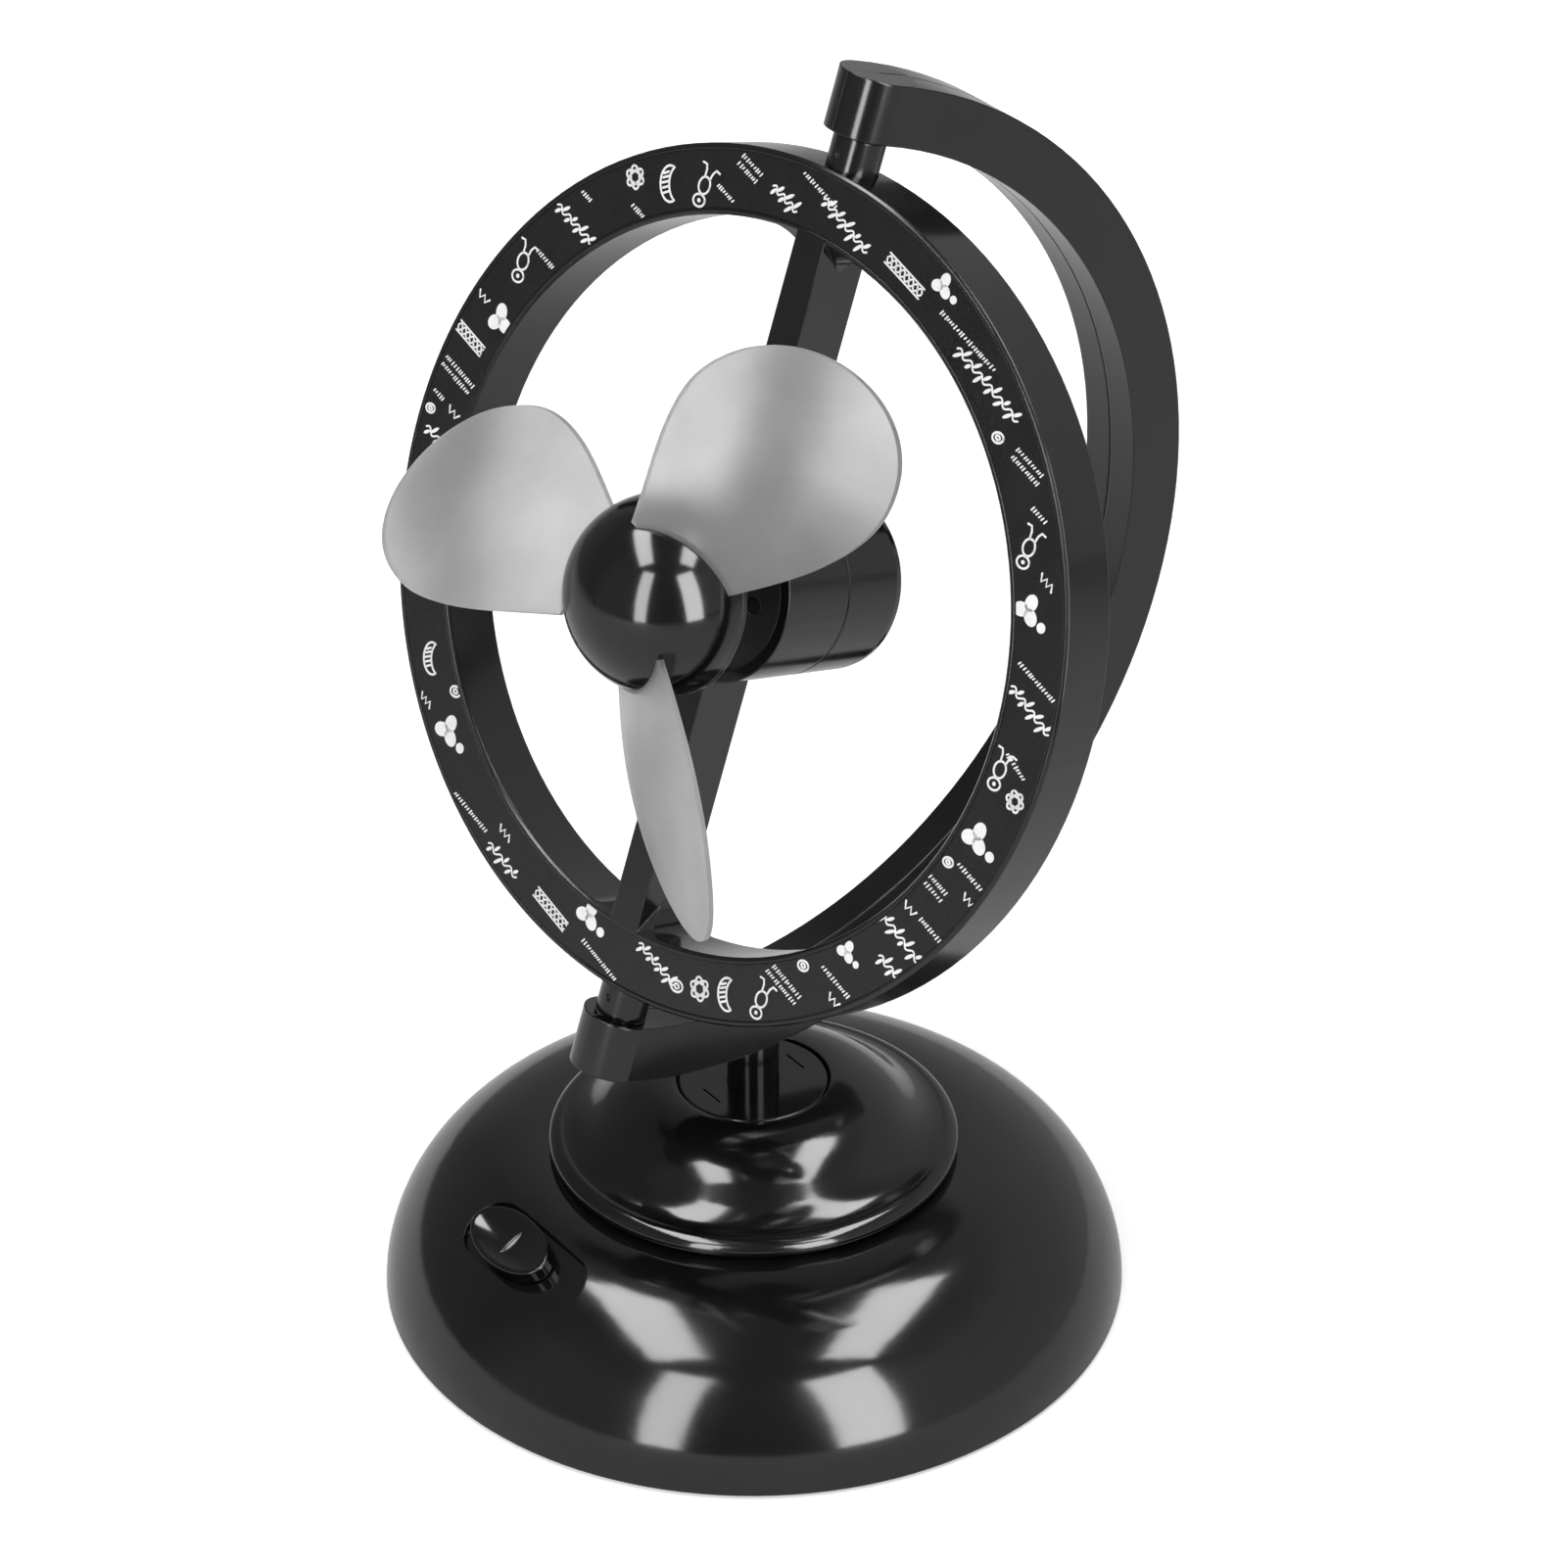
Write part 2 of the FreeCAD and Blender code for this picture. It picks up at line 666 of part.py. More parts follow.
def arm_sector(name, radius, width, angle):
    """Sector about Y on the closed side of the C."""
    obj = cylinder(name, radius, width, None, angle)
    doc.recompute([obj])
    obj.Placement = at(0, obj.Height.Value / 2, 0, turn(X_AXIS, 90) * turn(Z_AXIS, -angle / 2.0))
    return obj


def arm_screw_places():
    middle = (size("arm_outer") + size("arm_inner")) / 2
    places = []
    for angle in (-50, -20, 10, 40, 68):
        radians = math.radians(angle)
        places.append(at(middle * math.cos(radians), 0, middle * math.sin(radians), turn(X_AXIS, -90)))
    return places


def build_arm():
    to_arm = ARM.inverse()
    outer = arm_sector("arm_outer_sector", "$arm_outer", "$arm_width", 180)
    inner = arm_sector("arm_inner_sector", "$arm_inner", "$arm_width * 2", 180)
    ends = []
    for index, flip in enumerate((0, 180)):
        ends.append(cylinder("arm_end_%d" % index, "$arm_width / 2", "$arm_outer - $arm_inner",
                             at(0, 0, 0, turn(X_AXIS, flip)) * at(0, 0, size("arm_inner"))))
    solid = fuse("arm_solid", [cut("arm_strip", outer, [inner])] + ends)
    channel = cut("arm_channel",
                  arm_sector("channel_outer", "$arm_outer - $arm_wall", "$arm_width - 2 * $arm_wall",
                             size("arm_channel_angle")),
                  [arm_sector("channel_inner", "$arm_inner + $arm_wall", "$arm_width", 180)])
    hollow = cut("arm_hollow", solid, [channel])
    fills = [cylinder("stem_socket", "$socket_radius", "$arm_outer",
                      to_arm * at(0, 0, size("disc_top")))]
    for index, place in enumerate(arm_screw_places()):
        fills.append(cylinder("arm_post_%d" % index, "$arm_post_radius", "$arm_width",
                              place * at(0, 0, -size("arm_width") / 2)))
    inserts = common("arm_inserts", solid, fuse("arm_fills", fills))
    whole = fuse("arm_whole", [hollow, inserts])
    cuts = [cylinder("stem_hole", "$stem_radius", "$stem_top - $disc_top",
                     to_arm * at(0, 0, size("disc_top"))),
            cylinder("lead_turn", "$stem_bore", "$arm_wall * 1.5", to_arm * at(0, 0, size("stem_top"))),
            cylinder("lead_exit", "$wire_radius * 2.5", "$socket_radius * 1.5",
                     to_arm * at(0, 0, size("stem_top") + size("arm_wall") * 0.75, turn(Y_AXIS, -90)))]
    for index, flip in enumerate((0, 180)):
        cuts.append(cylinder("bush_seat_%d" % index, "$bush_radius", "$bush_bore_end - $arm_inner + 2",
                             at(0, 0, 0, turn(X_AXIS, flip)) * at(0, 0, size("arm_inner") - 2)))
    middle = (size("arm_outer") + size("arm_inner")) / 2
    cuts.append(cylinder("lead_end", "$wire_radius * 2.5", "$arm_outer - $arm_inner",
                         at(0, 0, -middle, turn(Y_AXIS, 90))))
    for index, place in enumerate(arm_screw_places()):
        face = size("arm_width") / 2
        cuts.append(cylinder("arm_sink_%d" % index, "$arm_screw_head + $band_gap", "$arm_screw_sink + 1",
                             place * at(0, 0, face - size("arm_screw_sink"))))
        cuts.append(cylinder("arm_hole_%d" % index, "$arm_screw_radius", "$arm_screw_length",
                             place * at(0, 0, face - size("arm_screw_sink") - size("arm_screw_length"))))
    cuts.append(cut("groove_inside", arm_sector("groove_inside_disc", "$arm_inner + $arm_groove", "$arm_groove", 180),
                    [arm_sector("groove_inside_core", "$arm_inner - $arm_wall", "$arm_width", 180)]))
    cuts.append(cut("groove_outside", arm_sector("groove_outside_disc", "$arm_outer + $arm_wall", "$arm_groove", 180),
                    [arm_sector("groove_outside_core", "$arm_outer - $arm_groove", "$arm_width", 180)]))
    finished = cut("arm_finished", whole, cuts)
    for label, side in (("arm_front", -1), ("arm_rear", 1)):
        half = box(label + "_side", "$arm_outer * 3", "$arm_width", "$arm_outer * 3",
                   at(0, side * size("arm_width") / 2, -1.5 * size("arm_outer")))
        node(common(label, finished, half), label, ARM)


def build_arm_screws():
    screws = []
    face = size("arm_width") / 2
    for index, place in enumerate(arm_screw_places()):
        head = cylinder("arm_screw_head_%d" % index, "$arm_screw_head", "$arm_screw_head_height",
                        place * at(0, 0, face - size("arm_screw_sink")))
        shank = cylinder("arm_screw_shank_%d" % index, "$arm_screw_radius", "$arm_screw_length",
                         place * at(0, 0, face - size("arm_screw_sink") - size("arm_screw_length")))
        screws.append(fuse("arm_screw_%d" % index, [head, shank]))
    return node(fuse("arm_screws", screws), "arm_screws", ARM)


def build_bushes():
    bushes = []
    for index, flip in enumerate((0, 180)):
        place = at(0, 0, 0, turn(X_AXIS, flip)) * at(0, 0, size("bush_start"))
        tube = cylinder("bush_tube_%d" % index, "$bush_radius", "$bush_end - $bush_start", place)
        bore = cylinder("bush_bore_%d" % index, "$journal_radius + $running_fit", "$bush_end", place)
        bushes.append(cut("bush_%d" % index, tube, [bore]))
    return node(fuse("pivot_bushes", bushes), "pivot_bushes", ARM)


def build_pins():
    """Pivot pins: spigot in the ring, thick visible collar, journal in the arm."""
    for label, flip in (("upper_pin", -90), ("lower_pin", 90)):
        place = at(0, 0, 0, turn(X_AXIS, flip))
        spigot = cylinder(label + "_spigot", "$pin_spigot_radius", "$pin_seat - $pin_spigot_end",
                          place * at(0, 0, size("pin_spigot_end")))
        collar = cylinder(label + "_collar", "$pin_radius", "$pin_shoulder - $pin_seat",
                          place * at(0, 0, size("pin_seat")))
        journal = cylinder(label + "_journal", "$journal_radius", "$journal_end - $pin_shoulder",
                           place * at(0, 0, size("pin_shoulder")))
        whole = fuse(label + "_whole", [spigot, collar, journal])
        middle = (size("pin_seat") + size("pin_shoulder")) / 2
        side = 1 if flip < 0 else -1
        dimple = cylinder(label + "_dimple", "$pin_dimple_radius", "$pin_radius",
                          at(0, side * middle, size("pin_radius") - size("pin_dimple_radius")))
        node(cut(label, whole, [dimple]), label, RING)


# ---------------------------------------------------------------- guard ring

def build_ring():
    half = size("ring_thickness") / 2
    edge = "$ring_edge"
    annulus = turned("ring_annulus", [
        ("$ring_inner", edge), ("$ring_inner + " + edge, "0"), ("$ring_outer - " + edge, "0"),
        ("$ring_outer", edge), ("$ring_outer", "$ring_thickness - " + edge),
        ("$ring_outer - " + edge, "$ring_thickness"), ("$ring_inner + " + edge, "$ring_thickness"),
        ("$ring_inner", "$ring_thickness - " + edge)])
    annulus.Placement = at(0, 0, -half)
    bar = box("crossbar", "$bar_width", "$ring_inner * 2 + $bar_width", "$ring_thickness", at(0, 0, -half))
    hoop = cylinder("motor_hoop", "$housing_radius", "$housing_front + $housing_seam",
                    at(0, 0, -size("housing_seam")))
    blank = fuse("ring_blank", [annulus, bar, hoop])
    doc.recompute()
    corners = []
    reach = size("ring_inner")
    for index, edge_shape in enumerate(blank.Shape.Edges, start=1):
        limits = edge_shape.BoundBox
        upright = limits.ZLength > size("ring_thickness") * 0.8 and limits.XLength < 0.1
        if upright and abs(abs(limits.Center.y) - reach) < 1.0:
            corners.append((index, size("bar_fillet"), size("bar_fillet")))
    rounded = doc.addObject("Part::Fillet", "ring_rounded")
    rounded.Base = blank
    rounded.Edges = corners
    cuts = [cylinder("hoop_bore", "$housing_bore", "$housing_front + $housing_seam + 2",
                     at(0, 0, -size("housing_seam") - 1))]
    recess_outer = cylinder("recess_outer", "$ring_outer - $band_margin", "$band_recess * 2",
                            at(0, 0, half - size("band_recess")))
    recess_inner = cylinder("recess_inner", "$ring_inner + $band_margin", "$ring_thickness", at(0, 0, 0))
    cuts.append(cut("band_recess_ring", recess_outer, [recess_inner]))
    start = size("housing_bore") - 1
    stop = size("pin_spigot_end") + 1
    cuts.append(box("lead_channel", "$channel_width", "$pin_spigot_end - $housing_bore + 2", "$channel_depth",
                    at(0, -(start + stop) / 2, -half)))
    middle = (size("cover_start") + size("cover_end")) / 2
    cuts.append(box("cover_seat", "$cover_width", "$cover_end - $cover_start", "$cover_thickness",
                    at(0, -middle, -half)))
    for index, flip in enumerate((-90, 90)):
        place = at(0, 0, 0, turn(X_AXIS, flip))
        cuts.append(cylinder("pin_pocket_%d" % index, "$pin_radius", "$pin_shoulder - $pin_seat",
                             place * at(0, 0, size("pin_seat"))))
        cuts.append(cylinder("pin_hole_%d" % index, "$pin_spigot_radius", "$pin_seat - $pin_spigot_end + 0.5",
                             place * at(0, 0, size("pin_spigot_end") - 0.5)))
    node(cut("ring_body", rounded, cuts), "ring_body", RING)

    cover = box("bar_cover", "$cover_width - 2 * $cover_gap", "$cover_end - $cover_start - 2 * $cover_gap",
                "$cover_thickness", at(0, -middle, -half))
    node(cover, "bar_cover", RING * cover.Placement)

    band = turned("face_band", [
        ("$ring_inner + $band_margin + $band_gap", "0"), ("$ring_outer - $band_margin - $band_gap", "0"),
        ("$ring_outer - $band_margin - $band_gap", "$band_thickness"),
        ("$ring_inner + $band_margin + $band_gap", "$band_thickness")])
    node(band, "face_band", RING * at(0, 0, half - size("band_recess")))


# ---------------------------------------------------------------- motor

def build_motor_shell():
    back = "$housing_back - $housing_seam"
    blank = turned("motor_shell_blank", [
        ("0", "0"), ("$housing_radius - 2.4", "0"), ("$housing_radius - 0.9", "0.5"),
        ("$housing_radius - 0.2", "1.5"), ("$housing_radius", "2.8"),
        ("$housing_radius", back + " - $shell_edge"), ("$housing_radius - $shell_edge", back),
        ("$housing_bore", back), ("$housing_bore", back + " + $shell_spigot"),
        ("$shell_inner", back + " + $shell_spigot"), ("$shell_inner", "$shell_wall"),
        ("0", "$shell_wall")])
    cuts = []
    for index in range(5):
        cuts.append(box("vent_%d" % index, "$housing_radius", "$shell_wall * 0.6", "$shell_wall * 2",
                        at(0, (index - 2) * size("shell_wall") * 1.8, -size("shell_wall") / 2)))
    cuts.append(box("spigot_notch", "$channel_width", "$housing_bore", "$shell_spigot * 2",
                    at(0, -size("housing_bore"), size("housing_back") - size("housing_seam") + 0.2)))
    node(cut("motor_shell", blank, cuts), "motor_shell", RING * at(0, 0, -size("housing_back")))


def motor_screw_places(level):
    return [at(-size("motor_screw_circle"), 0, level), at(size("motor_screw_circle"), 0, level)]


def build_motor():
    length = "$can_back + $can_front"
    can = turned("motor_can_blank", [
        ("$can_radius - $can_wall", "0"), ("$can_radius", "0"), ("$can_radius", length),
        ("$boss_radius", length), ("$boss_radius", length + " + $boss_length"),
        ("$shaft_radius + $running_fit", length + " + $boss_length"),
        ("$shaft_radius + $running_fit", length + " - $can_wall"),
        ("$can_radius - $can_wall", length + " - $can_wall")])
    can.Placement = at(0, 0, -size("can_back"))
    holes = []
    for index, place in enumerate(motor_screw_places(0)):
        holes.append(cylinder("can_hole_%d" % index, "$motor_screw_radius", "$can_front * 2", place))
    node(cut("motor_can", can, holes), "motor_can", RING)

    endcap = turned("motor_endcap", [
        ("0", "0"), ("$can_radius", "0"), ("$can_radius", "$endcap_thickness"),
        ("$can_radius - $can_wall", "$endcap_thickness"),
        ("$can_radius - $can_wall", "$endcap_thickness + $endcap_plug"),
        ("$shaft_radius + $running_fit", "$endcap_thickness + $endcap_plug"),
        ("$shaft_radius + $running_fit", "$endcap_thickness / 2"), ("0", "$endcap_thickness / 2")])
    node(endcap, "motor_endcap", RING * at(0, 0, -size("can_back") - size("endcap_thickness")))

    magnets = turned("magnet_ring", [
        ("$magnet_inner", "0"), ("$can_radius - $can_wall", "0"),
        ("$can_radius - $can_wall", "$magnet_length"), ("$magnet_inner", "$magnet_length")])
    magnets.Placement = at(0, 0, -size("magnet_back"))
    gap = box("magnet_gap", "$can_radius * 3", "$can_radius / 2", "$can_back * 3", at(0, 0, -2 * size("can_back")))
    node(cut("motor_magnets", magnets, [gap]), "motor_magnets", RING)

    tabs = []
    for index, side in enumerate((-1, 1)):
        tabs.append(box("motor_tab_%d" % index, "$tab_width", "$contact_sheet", "$tab_length",
                        at(side * size("tab_reach") - size("tab_width") / 2, 0,
                           -size("can_back") - size("endcap_thickness") - size("tab_length"))))
    node(fuse("motor_terminals", tabs), "motor_terminals", RING)

    sleeve = turned("motor_sleeve", [
        ("$can_radius", "0"), ("$housing_bore", "0"),
        ("$housing_bore", "$sleeve_length"), ("$can_radius", "$sleeve_length")])
    node(sleeve, "motor_sleeve",
         RING * at(0, 0, size("can_front") - 1.5 - size("sleeve_length")))

    disc = turned("motor_cover_blank", [
        ("$boss_radius", "0"), ("$housing_bore", "0"),
        ("$housing_bore", "$cover_disc_thickness"), ("$boss_radius", "$cover_disc_thickness")])
    disc.Placement = at(0, 0, size("can_front"))
    holes = []
    for index, place in enumerate(motor_screw_places(0)):
        holes.append(cylinder("cover_hole_%d" % index, "$motor_screw_radius", "$can_front * 4", place))
    top = size("can_front") + size("cover_disc_thickness") - size("motor_screw_sink")
    for index, place in enumerate(motor_screw_places(top)):
        holes.append(cylinder("cover_sink_%d" % index, "$motor_screw_head + $band_gap",
                              "$motor_screw_sink * 2", place))
    node(cut("motor_cover", disc, holes), "motor_cover", RING)

    screws = []
    for index, place in enumerate(motor_screw_places(top)):
        head = cylinder("motor_screw_head_%d" % index, "$motor_screw_head", "$motor_screw_head_height", place)
        shank = cylinder("motor_screw_shank_%d" % index, "$motor_screw_radius",
                         "$cover_disc_thickness - $motor_screw_sink + $can_wall",
                         place * at(0, 0, -size("cover_disc_thickness") + size("motor_screw_sink")
                                    - size("can_wall")))
        screws.append(fuse("motor_screw_%d" % index, [head, shank]))
    node(fuse("motor_screws", screws), "motor_screws", RING)


def build_rotor_core():
    shaft = turned("motor_shaft", [
        ("0", "0"), ("$shaft_radius", "0"), ("$shaft_radius", "$shaft_back + $shaft_front"),
        ("0", "$shaft_back + $shaft_front")])
    node(shaft, "motor_shaft", RING * at(0, 0, -size("shaft_back")))

    armature = turned("armature", [
        ("$shaft_radius", "0"), ("$commutator_radius", "0"), ("$commutator_radius", "$commutator_length"),
        ("$armature_radius", "$commutator_length"), ("$armature_radius", "$commutator_length + $armature_length"),
        ("$shaft_radius", "$commutator_length + $armature_length")])
    node(armature, "armature", RING * at(0, 0, -size("armature_back")))

    low = "$hub_centre - $hub_neck_start"
    core = turned("hub_core", [
        ("$shaft_radius", "0"), ("$hub_neck_radius", "0"),
        ("$hub_neck_radius", low + " - $hub_rim"), ("$hub_radius", low + " - $hub_rim"),
        ("$hub_radius", low), ("$hub_radius - $hub_wall - $band_gap * 2", low),
        ("$hub_radius - $hub_wall - $band_gap * 2", low + " + $hub_step"),
        ("$hub_radius - 2 * $hub_wall", low + " + $hub_step"),
        ("$hub_radius - 2 * $hub_wall", low), ("$hub_boss_radius", low),
        ("$hub_boss_radius", "$hub_boss_end - $hub_neck_start"),
        ("$shaft_radius", "$hub_boss_end - $hub_neck_start")])
    node(core, "hub_core", RING * at(0, 0, size("hub_neck_start")))


# ---------------------------------------------------------------- blades and hub nose

def blade_fraction(radius):
    root = BLADE_OUTLINE[0][0]
    return (radius - root) / (size("blade_tip_radius") - root)


def blade_middle(radius):
    """Angle of a blade's middle line at a radius, in degrees."""
    return size("blade_turn") + size("blade_sweep") * max(0.0, blade_fraction(radius)) ** 2


def blade_point(radius, along):
    """Point of the blade's rear face, along millimetres from its middle line."""
    share = blade_fraction(radius)
    pitch = size("blade_root_pitch") + share * (size("blade_tip_pitch") - size("blade_root_pitch"))
    level = size("blade_root_level") + share * (size("blade_tip_level") - size("blade_root_level"))
    angle = math.radians(blade_middle(radius)) + along / radius
    height = level + along * math.tan(math.radians(pitch)) - size("blade_thickness") / 2
    return FreeCAD.Vector(radius * math.cos(angle), radius * math.sin(angle), height)


def blade_outline():
    """Closed curve of the blade seen along the shaft."""
    leading = []
    trailing = []
    for radius, half_width in BLADE_OUTLINE:
        front = blade_point(radius, half_width)
        back = blade_point(radius, -half_width)
        leading.append(FreeCAD.Vector(front.x, front.y, 0))
        trailing.append(FreeCAD.Vector(back.x, back.y, 0))
    tip = blade_point(size("blade_tip_radius"), 0)
    points = leading + [FreeCAD.Vector(tip.x, tip.y, 0)] + trailing[::-1]
    curve = Part.BSplineCurve()
    curve.interpolate(points)
    closing = Part.makeLine(points[-1], points[0])
    return Part.Wire([curve.toShape(), closing])


def blade_solid():
    rows = []
    for radius in (11.0, 16.0, 24.0, 34.0, 44.0, 54.0, 64.0):
        widest = 11.0 + 0.22 * radius
        rows.append([blade_point(radius, widest * step / 4.0) for step in range(-4, 5)])
    surface = Part.BSplineSurface()
    surface.interpolate(rows)
    slab = surface.toShape().extrude(Z_AXIS * size("blade_thickness"))
    prism = Part.Face(blade_outline()).extrude(Z_AXIS * size("blade_tip_radius"))
    core = Part.makeSphere(size("blade_root_radius"), FreeCAD.Vector(0, 0, size("hub_centre")))
    return slab.common(prism).cut(core)


def build_blades_and_nose():
    blades = []
    base = blade_solid()
    for index, label in enumerate(BLADE_NAMES):
        place = turn(Z_AXIS, 120.0 * index)
        blade = base.copy()
        blade.rotate(FreeCAD.Vector(), Z_AXIS, 120.0 * index)
        blades.append(fixed_shape(label + "_form", blade))
        node(fixed_shape(label, base.copy()), label, RING * FreeCAD.Placement(FreeCAD.Vector(), place))
    outer = doc.addObject("Part::Sphere", "nose_outer")
    outer.setExpression("Radius", ref("$hub_radius"))
    outer.Angle1 = 0
    inner = doc.addObject("Part::Sphere", "nose_inner")
    inner.setExpression("Radius", ref("$hub_radius - $hub_wall"))
    for sphere in (outer, inner):
        sphere.Placement = at(0, 0, size("hub_centre"))
    return node(cut("hub_nose", outer, [inner] + blades), "hub_nose", RING)


# ---------------------------------------------------------------- wires

def build_wires():
    thick = size("wire_radius")
    fine = size("fine_wire_radius")
    plug = -size("switch_radius") + 7.0
    side = size("cell_pitch") * 2 + size("box_wall")
    over = TOP_OF_PLATE + size("box_inner_height") + size("box_wall") + thick * 2
    to_stem = [(plug, 0, 10.8), (-41.0, 0, 9.0), (-36.5, 0, 12.0), (-side - thick * 3, 0, over - 3),
               (-side, 0, over + 1.0), (-12.0, 0, over + 2.0), (-1.5, 0, over + 4.0), (0, 0, 33.0)]
    feed = [(-side - size("running_fit") * 4, 8.0, 12.0), (-36.0, 8.0, 11.0), (-42.0, 7.2, 8.6), (plug, 6.7, 10.8)]
    node(fixed_shape("base_lead", Part.makeCompound([bent_wire(to_stem, thick), bent_wire(feed, thick)])),
         "base_lead")

    turn_level = size("stem_top") + size("arm_wall") * 0.75
    middle = (size("arm_outer") + size("arm_inner")) / 2
    bend = ARM.multVec(FreeCAD.Vector(math.cos(math.radians(-80)) * middle, 0,
                                      math.sin(math.radians(-80)) * middle))
    last = ARM.multVec(FreeCAD.Vector(size("bush_radius"), 0, -middle))
    up_stem = [(0, 0, size("spigot_bottom") + 1), (0, 0, 48.0), (-0.6, 0, turn_level - 2),
               (-3.5, 0, turn_level), (bend.x, 0, bend.z), (last.x, 0, last.z)]
    node(fixed_shape("arm_lead", bent_wire(up_stem, thick)), "arm_lead")

    pair = []
    inside = -(size("can_radius") + size("shell_inner")) / 2
    level = -size("ring_thickness") / 2 + size("channel_depth") - size("channel_width") / 2
    back = -size("can_back") - size("endcap_thickness")
    lane = size("channel_width") / 4
    for side in (-1, 1):
        tab = side * size("tab_reach")
        route = [(tab, -fine * 0.5, back - 1.2), (tab, -2.0, back - 1.2), (side * lane, -11.0, back - 1.35),
                 (side * lane, inside, back - 0.9), (side * lane, inside, -8.5),
                 (side * lane, inside - 1.0, -5.6), (side * lane, -15.4, level),
                 (side * lane, -size("pin_spigot_end") + 1, level)]
        pair.append(bent_wire(route, fine))
    node(fixed_shape("ring_lead", Part.makeCompound(pair)), "ring_lead", RING)


# ---------------------------------------------------------------- build and write

dome = fixed_shape("base_dome", dome_solid(0))
shell = build_base_shell(dome)
build_base_plate()
build_feet()
build_base_screws()
build_battery_box()
build_cells()
build_contacts()
build_battery_door()
build_ballast()
build_switch(dome, shell)
build_upper_dome()
build_dome_screws()
build_swivel()
build_arm()
build_arm_screws()
build_bushes()
build_pins()
build_ring()
build_motor_shell()
build_motor()
build_rotor_core()
build_blades_and_nose()
build_wires()
doc.recompute()

faults = []
for feature in doc.Objects:
    if "Invalid" in feature.State or "Error" in feature.State:
        faults.append(feature.Name + " state " + str(feature.State))
for feature in nodes:
    if feature.Shape.isNull() or not feature.Shape.isValid() or not feature.Shape.Solids:
        faults.append(feature.Label + " has no valid solid")
if faults:
    raise RuntimeError("; ".join(faults))
middle = (size("pivot_shift") + size("arm_outer") - size("base_radius")) / 2
for feature in nodes:
    moved = feature.Shape.translated(X_AXIS * -middle)
    moved.exportStep("parts/%s.step" % feature.Label)
    limits = moved.BoundBox
    print("%-18s solids %d  volume %9.1f  z %6.1f to %6.1f" % (
        feature.Label, len(moved.Solids), moved.Volume, limits.ZMin, limits.ZMax))
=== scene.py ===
import json
import math
import random

import bmesh
import bpy
from mathutils import Matrix, Vector


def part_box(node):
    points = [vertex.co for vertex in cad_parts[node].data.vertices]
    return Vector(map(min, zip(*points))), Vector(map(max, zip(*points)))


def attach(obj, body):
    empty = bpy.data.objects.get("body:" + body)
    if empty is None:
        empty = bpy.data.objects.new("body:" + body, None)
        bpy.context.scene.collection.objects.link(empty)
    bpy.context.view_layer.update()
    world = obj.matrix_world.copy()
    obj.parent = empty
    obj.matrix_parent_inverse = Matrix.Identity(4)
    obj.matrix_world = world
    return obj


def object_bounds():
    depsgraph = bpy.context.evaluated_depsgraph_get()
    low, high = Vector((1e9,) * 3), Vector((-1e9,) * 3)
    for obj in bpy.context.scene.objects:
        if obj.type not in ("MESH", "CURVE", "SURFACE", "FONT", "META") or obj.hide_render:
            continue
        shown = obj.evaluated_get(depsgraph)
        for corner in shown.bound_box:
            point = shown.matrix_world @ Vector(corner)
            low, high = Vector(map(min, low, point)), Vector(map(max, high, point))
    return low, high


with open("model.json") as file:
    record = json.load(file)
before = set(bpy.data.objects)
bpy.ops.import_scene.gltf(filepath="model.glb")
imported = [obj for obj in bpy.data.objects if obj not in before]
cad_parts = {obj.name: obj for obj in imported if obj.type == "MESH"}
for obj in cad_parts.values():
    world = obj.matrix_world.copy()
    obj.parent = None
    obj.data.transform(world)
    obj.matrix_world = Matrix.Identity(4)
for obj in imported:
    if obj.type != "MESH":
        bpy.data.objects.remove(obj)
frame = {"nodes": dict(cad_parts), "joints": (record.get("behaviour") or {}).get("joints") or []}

CAD_BOX = [list(corner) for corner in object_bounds()]

# Desk fan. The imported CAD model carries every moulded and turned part.
# This script gives each part its finish, prints the face of the guard ring,
# and sets up the studio. Lengths are metres, and millimetres where a name ends in _mm
# or _MM, in the motifs and in the table of places for the print.

MM = 0.001
DRAW = random.Random(7)

scene = bpy.context.scene
nodes = frame["nodes"]
joints = {joint["name"]: joint for joint in frame["joints"]}


def stand_middle():
    """The middle of the round base, on the surface that the fan stands on."""
    low, high = (Vector(corner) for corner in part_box("base_shell"))
    return Vector(((low.x + high.x) / 2, (low.y + high.y) / 2, CAD_BOX[0][2]))


STAND = stand_middle()


# ---------------------------------------------------------------- camera

# Place from the middle of the base, angles in radians and lens in millimetres. These were
# solved from the photo.
CAMERA_PLACE = Vector((-0.47867, -0.67169, 0.61358))
CAMERA_HEADING = -0.6263
CAMERA_PITCH = math.pi / 2 - 0.5494
CAMERA_ROLL = -0.0022
CAMERA_LENS = 122.34
CAMERA_SENSOR = 36.0
CAMERA_REACH = (0.01, 50.0)


def add_camera():
    data = bpy.data.cameras.new("camera")
    data.lens = CAMERA_LENS
    data.sensor_width = CAMERA_SENSOR
    data.clip_start, data.clip_end = CAMERA_REACH
    camera = bpy.data.objects.new("camera", data)
    scene.collection.objects.link(camera)
    turned = (Matrix.Rotation(CAMERA_HEADING, 4, "Z")
              @ Matrix.Rotation(CAMERA_PITCH, 4, "X")
              @ Matrix.Rotation(CAMERA_ROLL, 4, "Z"))
    camera.matrix_world = Matrix.Translation(STAND + CAMERA_PLACE) @ turned
    scene.camera = camera


# ---------------------------------------------------------------- node helpers

def new_material(name):
    """Returns a material with an empty tree, its tree and its output node."""
    material = bpy.data.materials.new(name)
    material.use_nodes = True
    tree = material.node_tree
    tree.nodes.clear()
    return material, tree, tree.nodes.new("ShaderNodeOutputMaterial")


